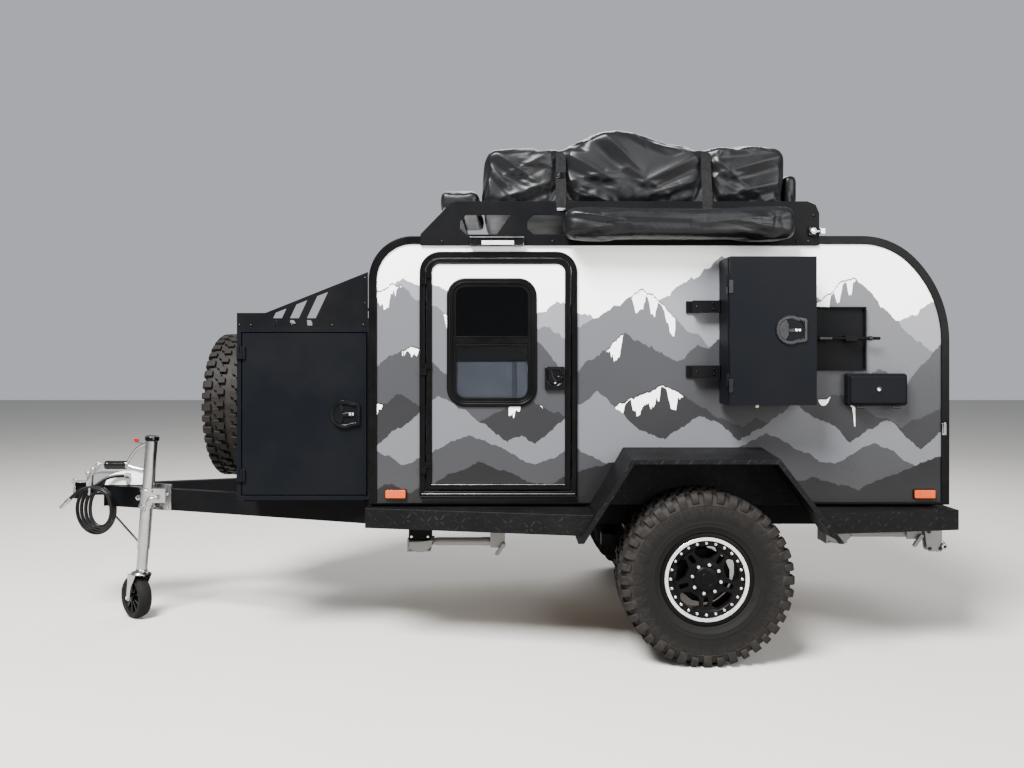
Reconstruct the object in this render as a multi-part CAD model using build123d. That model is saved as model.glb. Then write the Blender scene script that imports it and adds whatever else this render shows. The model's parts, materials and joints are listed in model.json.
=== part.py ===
"""Off-road teardrop camper trailer, standing on its wheels and its nose jack.

+X runs to the rear, -Y is the left side, +Z is up, and the ground is z = 0.
All sizes are in millimetres. Each sub-part has its own function, and one of a
left and right pair is modelled on the left and mirrored. Round things that
repeat, such as tyres, rims, corners and pins, are drawn with flat facets.
"""

from build123d import *
import math
import os

# Cabin
chassis_top = 730.0
body_front = -570.0
body_length = 2945.0
body_half_width = 750.0
body_height = 1363.0
panel = 30.0
floor_thickness = 40.0
front_radius = 220.0
rear_turn_x = 440.0
rear_turn_z = 530.0
body_rear = body_front + body_length
body_top = chassis_top + body_height
hatch_seam_x = body_rear - rear_turn_x
trim_width = 38.0
trim_proud = 8.0
trim_lap = 4.0
sill_band = 14.0
seam = 6.0

# Galley behind the bulkhead, and the mattress
galley_depth = 815.0
board = 18.0
worktop_height = 420.0
worktop_depth = 520.0
shelf_height = 830.0
shelf_depth = 480.0
mattress_height = 150.0
mattress_gap = 20.0
mattress_corner = 40.0
bulkhead_x = body_rear - galley_depth

# Cabin door and its window
door_front_gap = 255.0
door_width = 802.0
door_sill = 42.0
door_head = 76.0
door_radius = 105.0
door_frame_width = 28.0
door_frame_proud = 12.0
door_leaf_thickness = 38.0
door_leaf_inset = 2.0
window_front_inset = 139.0
window_rear_inset = 205.0
window_head = 135.0
window_height = 653.0
window_radius = 94.0
window_frame = 45.0
window_frame_proud = 10.0
window_rebate = 12.0
window_bar_drop = 323.0
window_bar_height = 48.0
glass_thickness = 6.0
latch_width = 102.0
latch_height = 117.0
latch_rear_gap = 63.0
latch_drop = 586.0
latch_rim = 20.0
latch_proud = 9.0
door_hinge_drops = (137.0, 597.0, 1097.0)
door_left_x = body_front + door_front_gap
door_right_x = door_left_x + door_width
door_bottom = chassis_top + door_sill
door_top = body_top - door_head
window_left_x = door_left_x + window_front_inset
window_right_x = door_right_x - window_rear_inset
window_top = door_top - window_head
window_bottom = window_top - window_height

# Lift-off hinges: barrel height, barrel radius, and how far a leaf plate reaches
hinge_slack = 1.0
door_hinge = (60.0, 7.0, 30.0)
box_hinge = (66.0, 7.0, 20.0)
lid_hinge = (60.0, 7.0, 16.0)
hinge_plate = 9.0
hinge_facets = 8
corner_facets = 4

# Chassis
rail_width = 50.0
rail_height = 120.0
rail_wall = 4.0
rail_set_in = 115.0
rail_front_lap = 15.0
rail_rear_gap = 45.0
cross_height = 80.0
bumper_depth = 40.0
drawbar_reach = 1655.0
drawbar_nose_y = 59.0
rail_outer_y = body_half_width - rail_set_in
rail_low = chassis_top - rail_height
chassis_front = body_front - rail_front_lap
chassis_rear = body_rear - rail_rear_gap
drawbar_nose_x = chassis_front - drawbar_reach

# Coupling
coupling_reach = 170.0
coupling_radius = 48.0
ball_socket_radius = 25.4
socket_mouth_z = 650.0
socket_depth = 40.0
nose_plate = 12.0
cover_height = 70.0
coupling_centre_x = drawbar_nose_x - coupling_reach

# Tongue box
box_gap = 17.0
box_length = 675.0
box_half_width = 700.0
box_lift = 15.0
box_height = 887.0
box_wall = 12.0
box_frame_depth = 40.0
box_frame_width = 20.0
box_door_inset = 22.0
box_door_rear_inset = 2.0
box_door_thickness = 28.0
box_door_proud = 2.0
box_hinge_out = 11.0
box_hinge_lifts = (95.0, 727.0)
ring_latch_radius = 70.0
ring_latch_proud = 9.0
box_latch_gap = 118.0
box_latch_lift = 443.0
wing_height = 77.0
wing_high_height = 288.0
wing_step = 147.0
wing_thickness = 5.0
wing_slot_first = 186.0
wing_slot_pitch = 87.0
wing_slot_width = 46.0
wing_slot_lift = 50.0
wing_slot_lean = 0.47
wing_slot_margin = 20.0
wing_gap_low = 8.0
wing_gap_height = 32.0
wing_gap_width = 28.0
wing_slot_count = 3
box_rear = body_front - box_gap
box_front = box_rear - box_length
box_bottom = chassis_top + box_lift
box_top = box_bottom + box_height

# Running gear
axle_x = 1085.0
tyre_diameter = 834.0
tyre_width = 285.0
tread_depth = 17.0
shoulder_round = 17.5
sidewall_outer_radius = 338.0
sidewall_inner_radius = 278.0
tyre_wall = 14.0
tyre_hollow_half_width = 104.0
lug_count = 28
middle_groove = 12.0
wheel_facets = 20
wheel_stand_off = 157.5
rim_seat_radius = 203.0
rim_flange_radius = 221.0
rim_width = 240.0
rim_flange_sheet = 8.0
rim_bore_radius = 188.0
rim_dish = 22.0
rim_disc = 34.0
rim_boss = 24.0
hub_radius = 84.0
cap_radius = 60.0
cap_inset = 2.0
cap_facets = 12
spoke_count = 5
spoke_window_low = 98.0
spoke_window_high = 160.0
spoke_slot_low = 92.0
spoke_slot_high = 138.0
spoke_slot_width = 26.0
stub_radius = 24.0
running_clearance = 0.6
tread_radius = tyre_diameter / 2
groove_radius = tread_radius - tread_depth
wheel_centre_y = body_half_width + wheel_stand_off
rim_hub_back = -rim_width / 2 + rim_dish + rim_disc + rim_boss

# Trailing arms
arm_pivot_ahead = 435.0
arm_pivot_drop = 59.0
arm_depth = 60.0
arm_from_tyre = 30.0
pivot_tube_radius = 30.0
pivot_inner_y = 420.0
brake_radius = 132.0
brake_depth = 54.0
brake_gap = 6.0
spring_ahead = 130.0
spring_radius = 64.0
spring_waist = 44.0
damper_radius = 20.0
damper_gap = 26.0
damper_lean = 130.0
pin_radius = 12.0
hanger_thickness = 10.0
arm_pivot_x = axle_x - arm_pivot_ahead
arm_pivot_z = rail_low - arm_pivot_drop

# Spare wheel
spare_gap = 8.0
spare_lift = 463.0
carrier_radius = 52.0
carrier_plate = 300.0
spare_z = box_bottom + spare_lift

# Steps and fenders
step_drop = 10.0
step_height = 100.0
step_sheet = 4.0
step_front_width = 50.0
step_rear_width = 100.0
step_wide = 295.0
step_wide_rear = 250.0
fender_foot_front = 617.0
fender_foot_rear = 643.0
fender_top_front = 364.0
fender_top_rear = 340.0
fender_foot_drop = 15.0
fender_rise = 188.0
fender_drop = 28.0
fender_reach = 156.5
fender_sheet = 4.0
fender_lip = 24.0
step_top = chassis_top - step_drop
step_rear_x = body_rear + 3.0
fender_low_front_x = axle_x - fender_foot_front
fender_low_rear_x = axle_x + fender_foot_rear
fender_top_front_x = axle_x - fender_top_front
fender_top_rear_x = axle_x + fender_top_rear
fender_low_z = rail_low - fender_foot_drop
fender_top_z = tyre_diameter + fender_rise
fender_outer_y = wheel_centre_y + fender_reach

# Roof rack
rack_front_gap = 260.0
rack_length = 2025.0
rack_lap = 46.0
rack_height = 225.0
rack_sheet = 5.0
rack_shoulder = 177.0
rack_nose = 58.0
rack_flange = 35.0
rack_corner = 60.0
rack_window_first = 201.0
rack_window_pitch = 342.0
rack_window_length = 257.0
rack_window_lift = 57.0
rack_window_height = 98.0
rack_window_cut = 30.0
rack_window_slant = 70.0
rack_window_count = 5
rack_bar_width = 45.0
rack_bar_height = 25.0
rack_bar_lead = 55.0
rack_front_x = body_front + rack_front_gap
rack_rear_x = rack_front_x + rack_length
rack_bottom = body_top - rack_lap
rack_top = rack_bottom + rack_height
rack_bar_top = rack_top - rack_sheet
rack_inner_y = body_half_width + trim_proud

# Folded tent, awning bag and the two small bags
tent_front_gap = 302.0
tent_length = 1610.0
tent_half_width = 610.0
tent_height = 318.0
tent_hump = 130.0
tent_edge = 30.0
awning_front_gap = 725.0
awning_length = 1140.0
awning_lift = 9.0
awning_height = 172.0
awning_depth = 165.0
awning_edge = 45.0
bag_gap = 12.0
front_bag = (213.0, -560.0, 200.0, 114.0)
rear_bag = (80.0, -520.0, 250.0, 213.0)
bag_edge = 30.0
tent_front_x = rack_front_x + tent_front_gap
tent_rear_x = tent_front_x + tent_length
tent_top = rack_bar_top + tent_height
# Top of the tent from rear to front: share of its length, share of the hump
tent_outline = ((0.81, 0.12), (0.70, 0.35), (0.585, 1.0), (0.38, 1.0), (0.285, 0.46), (0.13, 0.12))

# Kitchen box on the left side, its mounts and the power inlet
side_box_from_rear = 1171.0
side_box_width = 423.0
side_box_head = 127.0
side_box_height = 719.0
side_box_gap = 25.0
side_box_depth = 170.0
side_box_wall = 10.0
side_door_thickness = 24.0
side_pivot_ahead = 124.0
side_pivot_out = 40.0
side_arm_drop = 231.0
side_arm_rise = 161.0
side_arm_height = 60.0
side_arm_sheet = 12.0
side_barrel_radius = 10.0
arm_hinge = (side_arm_height, side_barrel_radius, side_arm_height)
side_hinge_lifts = (93.0, 573.0)
side_latch_gap = 128.0
side_latch_lift = 363.0
tray_reach = 325.0
tray_lap = 120.0
tray_lift = 165.0
tray_height = 324.0
tray_depth = 20.0
tray_sheet = 8.0
latch_rod_lift = 163.0
latch_rod_out = 48.0
latch_rod_radius = 8.0
latch_rod_reach = 56.0
inlet_from_rear = 530.0
inlet_width = 300.0
inlet_lift = 506.0
inlet_height = 162.0
inlet_housing_depth = 28.0
inlet_lid_depth = 30.0
inlet_rim = 14.0
inlet_lock_radius = 16.0
side_box_left_x = body_rear - side_box_from_rear
side_box_right_x = side_box_left_x + side_box_width
side_box_top = body_top - side_box_head
side_box_bottom = side_box_top - side_box_height
side_box_back_y = body_half_width + side_box_gap
side_box_front_y = side_box_back_y + side_box_depth
side_pivot_x = side_box_left_x - side_pivot_ahead
side_pivot_y = body_half_width + side_pivot_out
side_arm_z = (side_box_top - side_arm_drop, side_box_bottom + side_arm_rise)
tray_right_x = side_box_right_x + tray_reach
tray_bottom = side_box_bottom + tray_lift
inlet_left_x = body_rear - inlet_from_rear
inlet_right_x = inlet_left_x + inlet_width
inlet_bottom = chassis_top + inlet_lift
inlet_top = inlet_bottom + inlet_height

# Lamps
marker_front_gap = 78.0
marker_rear_gap = 68.0
marker_width = 112.0
marker_height = 51.0
marker_lift = 29.0
marker_depth = 20.0
tail_lamp_width = 190.0
tail_lamp_height = 65.0
tail_lamp_edge = 15.0
tail_lamp_lift = 30.0
tail_lamp_depth = 28.0
work_lamp_gap = 253.0
work_lamp_length = 273.0
work_lamp_height = 48.0
work_lamp_drop = 7.0
work_lamp_depth = 32.0

# Nose jack
jack_behind_nose = 349.0
jack_y = -240.0
jack_top_z = 1027.0
jack_lean = 4.54
jack_outer_radius = 34.0
jack_outer_bore = 31.7
jack_inner_radius = 30.0
jack_outer_length = 632.0
jack_inner_length = 640.0
jack_inner_showing = 128.0
jack_cap = 16.0
clamp_from_top = 285.0
clamp_length = 110.0
clamp_wall = 9.0
clamp_plate = (110.0, 10.0, 150.0)
clamp_plate_behind = 53.0
clamp_arm_height = 80.0
bail_radius = 7.0
# Winding handle in side view, from the jack's top: x and z
bail_route = ((-34.0, -35.0), (-84.0, -58.0), (-118.0, -98.0), (-149.0, -155.0), (-55.0, -181.0))
grip_radius = 24.0
grip_length = 114.0
stay_radius = 7.0
stay_back = 30.0
stay_drop = 50.0
caster_radius = 120.0
caster_width = 82.0
caster_facets = 16
caster_trail = 37.0
caster_swivel = 40.0
caster_axle_radius = 10.0
caster_hub_radius = 36.0
caster_rim_radius = 88.0
caster_recess = 14.0
fork_gap = 8.0
fork_sheet = 6.0
fork_plate_radius = 48.0
fork_washer_radius = 18.0
jack_top = (drawbar_nose_x + jack_behind_nose, jack_y, jack_top_z)

# Stabiliser legs: distance of the pivot from the chassis rear, and below the rails
leg_places = {"front": (2250.0, 95.0), "rear": (80.0, 50.0)}
leg_length = 480.0
leg_tube_radius = 19.0
leg_collar = 56.0
leg_foot_width = 130.0
leg_foot_length = 110.0
leg_pin_radius = 8.0
leg_cheek = 8.0
leg_half_width = 38.0
leg_y = rail_outer_y - rail_width / 2

# Recovery brackets at the chassis rear, with a shackle on the left one
recovery_front = 21.0
recovery_reach = 100.0
recovery_hole_reach = 75.0
recovery_drop = 65.0
recovery_hole_radius = 11.0
recovery_plate = 16.0
shackle_half_width = 26.0
shackle_length = 80.0
shackle_radius = 9.0
recovery_front_x = chassis_rear - recovery_front
recovery_rear_x = chassis_rear + recovery_reach
recovery_hole_x = chassis_rear + recovery_hole_reach
recovery_hole_z = rail_low - recovery_drop

# Trailer cable: its coil hangs on a hook, and its ends follow points chosen by hand
cable_radius = 10.0
cable_centre = (-2267.0, -150.0, 602.0)
cable_half_width = 127.0
cable_half_height = 153.0
cable_ring_thickness = 44.0
cable_ring_depth = 90.0
cable_ring_facets = 24
cable_facets = 8
ferrule_length = 72.0
hook_radius = 7.0
hook_rise = 34.0
gland_radius = 15.0
gland_length = 28.0
cable_lead_points = [
    (-2120.0, -74.0, 790.0),
    (-2170.0, -74.0, 790.0),
    (-2224.0, -100.0, 778.0),
    (-2262.0, -134.0, 742.0),
]
cable_tail_points = [
    (-2286.0, -184.0, 741.0),
    (-2336.0, -199.0, 716.0),
    (-2376.0, -209.0, 674.0),
]

side_names = ("left", "right")


def block(x0, x1, y0, y1, z0, z1):
    """Box between two corners."""
    return Pos((x0 + x1) / 2, (y0 + y1) / 2, (z0 + z1) / 2) * Box(abs(x1 - x0), abs(y1 - y0), abs(z1 - z0))


def rod(start, end, radius):
    """Round bar from one point to another."""
    a, b = Vector(*start), Vector(*end)
    way = b - a
    return Plane(origin=a + way * 0.5, z_dir=way) * Cylinder(radius, way.length)


def bar(start, end, radius, sides=8):
    """Many-sided bar from one point to another, inside its radius."""
    a, b = Vector(*start), Vector(*end)
    face = Plane(origin=a, z_dir=b - a) * RegularPolygon(radius, sides)
    return extrude(face, amount=(b - a).length)


def bent_bar(points, radius, sides=6):
    """Many-sided bar along straight runs with mitred corners."""
    path = Polyline(*points)
    section = Plane(origin=path @ 0, z_dir=path % 0) * RegularPolygon(radius, sides)
    return sweep(section, path=path, transition=Transition.RIGHT)


def outline(*points):
    """Closed straight-sided face."""
    return make_face(Polyline(*points, close=True))


def polar(radius, angle):
    """Point at a radius and an angle in degrees."""
    return radius * math.cos(math.radians(angle)), radius * math.sin(math.radians(angle))


def along_y(face, y0, y1):
    """Face drawn in (x, z), between two values of y."""
    low, high = sorted((y0, y1))
    return Pos(0, high, 0) * extrude(Plane.XZ * face, amount=high - low)


def along_z(face, z0, z1):
    """Face drawn in (x, y), from z0 to z1."""
    return Pos(0, 0, z0) * extrude(face, amount=z1 - z0)


def panel_rect(x0, x1, z0, z1, radius, inset=0.0):
    """Rectangle in side view, drawn in by an inset, each corner turned in equal facets."""
    turn = radius - inset
    points = []
    corners = ((x1 - radius, z1 - radius), (x0 + radius, z1 - radius),
               (x0 + radius, z0 + radius), (x1 - radius, z0 + radius))
    for quarter, (x, z) in enumerate(corners):
        for k in range(corner_facets + 1):
            across, up = polar(turn, 90 * (quarter + k / corner_facets))
            points.append((x + across, z + up))
    return outline(*points)


def wheel_prism(radius, y0, y1, facets=wheel_facets):
    """Many-sided disc about the Y axis."""
    return along_y(RegularPolygon(radius, facets), y0, y1)


def wheel_taper(radius0, y0, radius1, y1, facets=wheel_facets):
    """Many-sided cone about the Y axis, between two radii."""
    ends = [Pos(0, y, 0) * (Plane.XZ * RegularPolygon(r, facets)) for r, y in ((radius0, y0), (radius1, y1))]
    return loft(ends, ruled=True)


def other_side(shape):
    """The same shape on the right side of the trailer."""
    return mirror(shape, about=Plane.XZ)


def both_sides(shape):
    """A left piece together with its right twin."""
    return [shape, other_side(shape)]


def largest(shape):
    """The largest solid of a shape."""
    return max(shape.solids(), key=lambda solid: solid.volume)


def body_face(inset=0.0, bottom=chassis_top):
    """Side view of the cabin, drawn in by an inset; the rear turn has two arcs."""
    front, rear, top = body_front + inset, body_rear - inset, body_top - inset
    half = math.sqrt(0.5)
    # Two 45 degree arcs that together turn from the rear wall into the roof
    low_radius = (rear_turn_z * half - rear_turn_x * (1 - half)) / (half * half - (1 - half) ** 2)
    high_radius = (rear_turn_x - low_radius * (1 - half)) / half
    turn_low = (body_rear - low_radius, body_top - rear_turn_z)
    turn_high = (body_rear - rear_turn_x, body_top - high_radius)
    front_turn = (body_front + front_radius, body_top - front_radius)
    edges = [
        Line((front, bottom), (rear, bottom)),
        Line((rear, bottom), (rear, turn_low[1])),
        CenterArc(turn_low, low_radius - inset, 0, 45),
        CenterArc(turn_high, high_radius - inset, 45, 45),
        Line((turn_high[0], top), (front_turn[0], top)),
        CenterArc(front_turn, front_radius - inset, 90, 90),
        Line((front, front_turn[1]), (front, bottom)),
    ]
    return make_face(Curve() + edges)


def low_barrel(x, y, z, hinge):
    """Fixed lower half of a lift-off hinge that starts at z."""
    height, radius, _ = hinge
    return bar((x, y, z), (x, y, z + height / 2), radius, hinge_facets)


def high_barrel(x, y, z, hinge, lowest):
    """Moving upper half of a lift-off hinge; the lowest of a door is truly round."""
    height, radius, _ = hinge
    start, end = (x, y, z + height / 2 + hinge_slack), (x, y, z + height)
    return rod(start, end, radius) if lowest else bar(start, end, radius, hinge_facets)


def chassis_rails():
    """Two rectangular hollow sections under the cabin."""
    def section(inset, overrun):
        return block(chassis_front - overrun, chassis_rear + overrun, -rail_outer_y + inset,
                     -rail_outer_y + rail_width - inset, rail_low + inset, chassis_top - inset)
    return both_sides(section(0, 0) - section(rail_wall, 1))


def cross_members():
    """Members between the rails, the rear bumper bar and the two bearers of the tongue box."""
    inner = rail_outer_y - rail_width
    half = rail_width / 2
    members = []
    middles = (chassis_front + half, chassis_front + 735, arm_pivot_x, axle_x + 215, chassis_rear - 480)
    for x in middles:
        member = block(x - half, x + half, -inner, inner, chassis_top - cross_height, chassis_top)
        member -= block(x - half + rail_wall, x + half - rail_wall, -inner - 1, inner + 1,
                        chassis_top - cross_height + rail_wall, chassis_top - rail_wall)
        members.append(member)
    bumper = block(chassis_rear, chassis_rear + bumper_depth, -rail_outer_y, rail_outer_y, rail_low, chassis_top)
    bumper -= block(chassis_rear + rail_wall, chassis_rear + bumper_depth - rail_wall,
                    -rail_outer_y - 1, rail_outer_y + 1, rail_low + rail_wall, chassis_top - rail_wall)
    members.append(bumper)
    bearer_y = box_half_width - box_frame_depth
    for x in (box_front + rail_width, box_rear - rail_width):
        members.append(block(x - half, x + half, -bearer_y, bearer_y, chassis_top, box_bottom))
    return members


def drawbar_slope():
    """How far a drawbar rail moves in y for each millimetre of x."""
    return (rail_outer_y - drawbar_nose_y) / (chassis_front - drawbar_nose_x)


def drawbar_face_y(x):
    """Outer face of the left drawbar rail at one place along it."""
    return -rail_outer_y + max(0.0, chassis_front - max(x, drawbar_nose_x)) * drawbar_slope()


def drawbar_rails():
    """The two rails of the A-frame, from the chassis to the nose."""
    stretch = math.sqrt(1 + drawbar_slope() ** 2)
    across, wall = rail_width * stretch, rail_wall * stretch
    def plan(inset):
        return outline(
            (chassis_front, -rail_outer_y + inset), (drawbar_nose_x, -drawbar_nose_y + inset),
            (drawbar_nose_x, -drawbar_nose_y + across - inset), (chassis_front, -rail_outer_y + across - inset),
        )
    rail = along_z(plan(0), rail_low, chassis_top)
    rail -= along_z(plan(wall), rail_low + rail_wall, chassis_top - rail_wall)
    return both_sides(rail)


def cover_outline():
    """Side view of the raised cover over the drawbar's point."""
    x, z = drawbar_nose_x, chassis_top
    return outline(
        (x - 100, z), (x - 100, z + cover_height - 15), (x - 84, z + cover_height), (x + 18, z + cover_height),
        (x + 124, z + cover_height * 0.66), (x + 185, z + cover_height * 0.57), (x + 185, z),
    )


def cable_gland():
    """Short gland on the cover's left side, where the cable comes out."""
    x, y, z = cable_lead_points[0]
    sleeve = bar((x, y, z), (x + gland_length, y, z), gland_radius)
    return sleeve + block(x + 4, x + gland_length - 4, y, -drawbar_nose_y + 1, chassis_top + 10, z + 2)


def coupling():
    """Nose flange, ball socket and the raised cover over the drawbar's point."""
    head = bar((coupling_centre_x, 0, socket_mouth_z), (coupling_centre_x, 0, chassis_top + 15), coupling_radius, 12)
    neck = coupling_radius * 0.67
    head += block(coupling_centre_x, drawbar_nose_x, -neck, neck, rail_low + rail_height / 2, chassis_top + 2)
    flange_y = drawbar_nose_y + 4
    head += block(drawbar_nose_x - nose_plate, drawbar_nose_x, -flange_y, flange_y, rail_low, chassis_top)
    head += along_y(cover_outline(), -drawbar_nose_y, drawbar_nose_y)
    socket = Pos(coupling_centre_x, 0, socket_mouth_z) * Cylinder(ball_socket_radius, 2 * socket_depth)
    return head + cable_gland() - socket


def coupling_lever():
    """Latch lever with three bosses, its front link and the hook that carries the cable."""
    x, z = drawbar_nose_x, chassis_top
    y0, y1 = -drawbar_nose_y - 12, -drawbar_nose_y
    plate = outline((x - 112, z - 40), (x - 86, z - 40), (x - 78, z + 60), (x - 32, z + 112),
                    (x - 48, z + 132), (x - 108, z + 78))
    lever = along_y(plate, y0, y1)
    for back, rise, radius in ((41.0, 120.0, 15.0), (72.0, 94.0, 13.0), (101.0, 71.0, 13.0)):
        lever += bar((x - back, y0 - 6, z + rise), (x - back, y1, z + rise), radius)
    link_y, link_z, eye_x = y0 + 6, z + 26, x - 185
    lever += bar((x - 105, link_y, link_z), (eye_x, link_y, link_z), 7, 6)
    lever += bar((eye_x, y0 - 4, link_z), (eye_x, y1 + 2, link_z), 14)
    lever += bar((eye_x, link_y, link_z), (eye_x + 8, link_y, z - 40), 6, 6)
    return [lever + cable_hook()]


def cable_hook():
    """Hook on the left drawbar rail, with the coil of cable hanging on it."""
    x = cable_centre[0]
    z = cable_centre[2] + cable_half_height - cable_ring_thickness - hook_radius - 2
    reach = cable_centre[1] - cable_ring_depth / 2 - 2 * hook_radius
    hook = bar((x, drawbar_face_y(x) + rail_width / 2, z), (x, reach, z), hook_radius)
    return hook + bar((x, reach + hook_radius, z - hook_radius), (x, reach + hook_radius, z + hook_rise), hook_radius)


def side_steps():
    """Folded tread-plate steps before and behind the left fender."""
    def tray(x0, y0, x1, y1, inset):
        return outline((x0 + inset, -rail_outer_y), (x0 + inset, -y0 + inset),
                       (x1 - inset, -y1 + inset), (x1 - inset, -rail_outer_y))
    low = step_top - step_height
    wall = body_half_width
    spans = [
        (chassis_front, wall + step_front_width, fender_top_front_x, wall + step_wide),
        (fender_top_rear_x, wall + step_wide_rear, step_rear_x, wall + step_rear_width),
    ]
    pieces = []
    for span in spans:
        step = along_z(tray(*span, 0), low, step_top)
        step -= along_z(tray(*span, step_sheet), low - 1, step_top - step_sheet)
        step -= fender_prism(0, rail_outer_y - 2)
        pieces += both_sides(largest(step))
    return pieces


def fender_section(y, inset):
    """Arch outline at one distance from the centreline, its top lower further out."""
    share = (y - body_half_width) / (fender_outer_y - body_half_width)
    top = fender_top_z - fender_drop * share - inset
    slant = (fender_top_front_x - fender_low_front_x) / (fender_top_z - fender_low_z)
    lean = inset * math.sqrt(1 + slant * slant)
    foot = fender_low_z - (1 if inset else 0)
    drop = (fender_low_z - foot) * slant
    return outline(
        (fender_low_front_x + lean - drop, foot),
        (fender_top_front_x + lean - inset * slant, top),
        (fender_top_rear_x - lean + inset * slant, top),
        (fender_low_rear_x - lean + drop, foot),
    )


def fender_prism(inset, y_in=body_half_width, y_out=fender_outer_y):
    """Solid inside the arch between two distances from the centreline."""
    inner = Pos(0, -y_in, 0) * (Plane.XZ * fender_section(y_in, inset))
    outer = Pos(0, -y_out, 0) * (Plane.XZ * fender_section(y_out, inset))
    return loft([inner, outer], ruled=True)


def fender():
    """Folded tread-plate arch with a turned-down lip and the flat plate on the cabin."""
    arch = fender_prism(0)
    arch -= fender_prism(fender_sheet, body_half_width - 1, fender_outer_y - fender_sheet)
    arch -= fender_prism(fender_lip, fender_outer_y - 2 * fender_sheet, fender_outer_y + 1)
    back = fender_prism(fender_sheet / 2, body_half_width, body_half_width + fender_sheet)
    back -= block(0, axle_x * 2, -body_half_width - 20, -body_half_width + 20, 0, chassis_top)
    return arch + back


def lug_row(turn):
    """Side view of one row of lugs, with grooves as wide as the lugs between them."""
    half = 180 / lug_count
    points = []
    for k in range(lug_count):
        start = turn + 2 * k * half
        points += [polar(tread_radius, start), polar(tread_radius, start + half)]
        points += [polar(groove_radius, start + half), polar(groove_radius, start + 2 * half)]
    return outline(*points)


def tyre():
    """Tyre about the Y axis at the origin: two staggered rows of lugs, sidewalls, beads and a hollow."""
    edge, wall, groove = tyre_width / 2 - shoulder_round, tyre_width / 2, middle_groove / 2
    bead = rim_width / 2 - rim_flange_sheet - running_clearance
    shape = along_y(lug_row(0), -edge, -groove) + along_y(lug_row(180 / lug_count), groove, edge)
    shape += wheel_prism(groove_radius, -groove, groove)
    for side in (-1, 1):
        shape += wheel_taper(groove_radius - 4, side * edge, sidewall_outer_radius, side * wall)
    for side in (-1, 1):
        shape -= wheel_taper(sidewall_inner_radius, side * wall, rim_flange_radius + running_clearance, side * bead)
    shape -= wheel_prism(rim_seat_radius + running_clearance, -bead, bead)
    round_up = 1 / math.cos(math.radians(15))
    hollow = wheel_prism(groove_radius - tyre_wall, -tyre_hollow_half_width, tyre_hollow_half_width, 12)
    hollow -= wheel_prism((rim_seat_radius + 2 * tyre_wall) * round_up, -tyre_hollow_half_width - 1,
                          tyre_hollow_half_width + 1, 12)
    return shape - hollow


def spoke_window():
    """Large opening between two spokes, about the +Z direction."""
    low, high = spoke_window_low, spoke_window_high
    corners = [polar(low, 90 - 16), polar(high - 20, 90 - 24), polar(high, 90 - 17)]
    return outline(*corners, *[(-x, z) for x, z in reversed(corners)])


def spoke_slot():
    """Small opening that splits a spoke, about the +Z direction."""
    half = spoke_slot_width / 2
    low, high = spoke_slot_low, spoke_slot_high
    return outline((-half + 5, low), (half - 5, low), (half, high), (-half, high))


def rim():
    """Wheel about the Y axis at the origin, its face towards -Y: barrel, split spokes, hub and cap."""
    half = rim_width / 2
    face_y = -half + rim_dish
    back_y = face_y + rim_disc
    wheel = wheel_prism(rim_seat_radius, -half, half)
    wheel += wheel_prism(rim_flange_radius, -half, -half + rim_flange_sheet)
    wheel += wheel_prism(rim_flange_radius, half - rim_flange_sheet, half)
    wheel -= wheel_prism(rim_bore_radius, -half - 1, face_y)
    wheel -= wheel_prism(rim_bore_radius, back_y, half + 1, wheel_facets // 2)
    for k in range(spoke_count):
        turn = 360 / spoke_count * k
        wheel -= Rot(0, turn, 0) * along_y(spoke_window(), face_y - 1, back_y + 1)
        wheel -= Rot(0, turn + 180 / spoke_count, 0) * along_y(spoke_slot(), face_y - 1, back_y + 1)
    wheel += wheel_prism(cap_radius, -half + cap_inset, face_y, cap_facets)
    wheel += wheel_prism(hub_radius, back_y, rim_hub_back, cap_facets)
    return wheel - rod((0, face_y + running_clearance * 10, 0), (0, rim_hub_back + 1, 0), stub_radius + running_clearance)


def placed_wheel(shape, side):
    """Wheel part brought to its place on one side."""
    left = Pos(axle_x, -wheel_centre_y, tyre_diameter / 2) * shape
    return left if side == "left" else other_side(left)


def trailing_arm():
    """Arm plate, its brace and the pivot tube of the left wheel."""
    x, z = axle_x, tyre_diameter / 2
    outer_y = -(wheel_centre_y - tyre_width / 2) + arm_from_tyre
    plate = outline(
        (arm_pivot_x - 38, arm_pivot_z + 30), (arm_pivot_x - 38, arm_pivot_z - 30),
        (x + 50, z - 40), (x + 50, z + 40), (arm_pivot_x + 260, arm_pivot_z - 10),
    )
    arm = along_y(plate, outer_y, outer_y + arm_depth)
    arm += bar((arm_pivot_x, outer_y - 4, arm_pivot_z), (arm_pivot_x, -pivot_inner_y, arm_pivot_z), pivot_tube_radius)
    brace_y = outer_y + arm_depth + 10
    brace = outline((arm_pivot_x + 10, -pivot_inner_y - 20), (arm_pivot_x + 60, -pivot_inner_y - 20),
                    (x - 90, brace_y), (x - 160, brace_y))
    return arm + along_z(brace, arm_pivot_z - 62, arm_pivot_z - 22), outer_y + arm_depth


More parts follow.
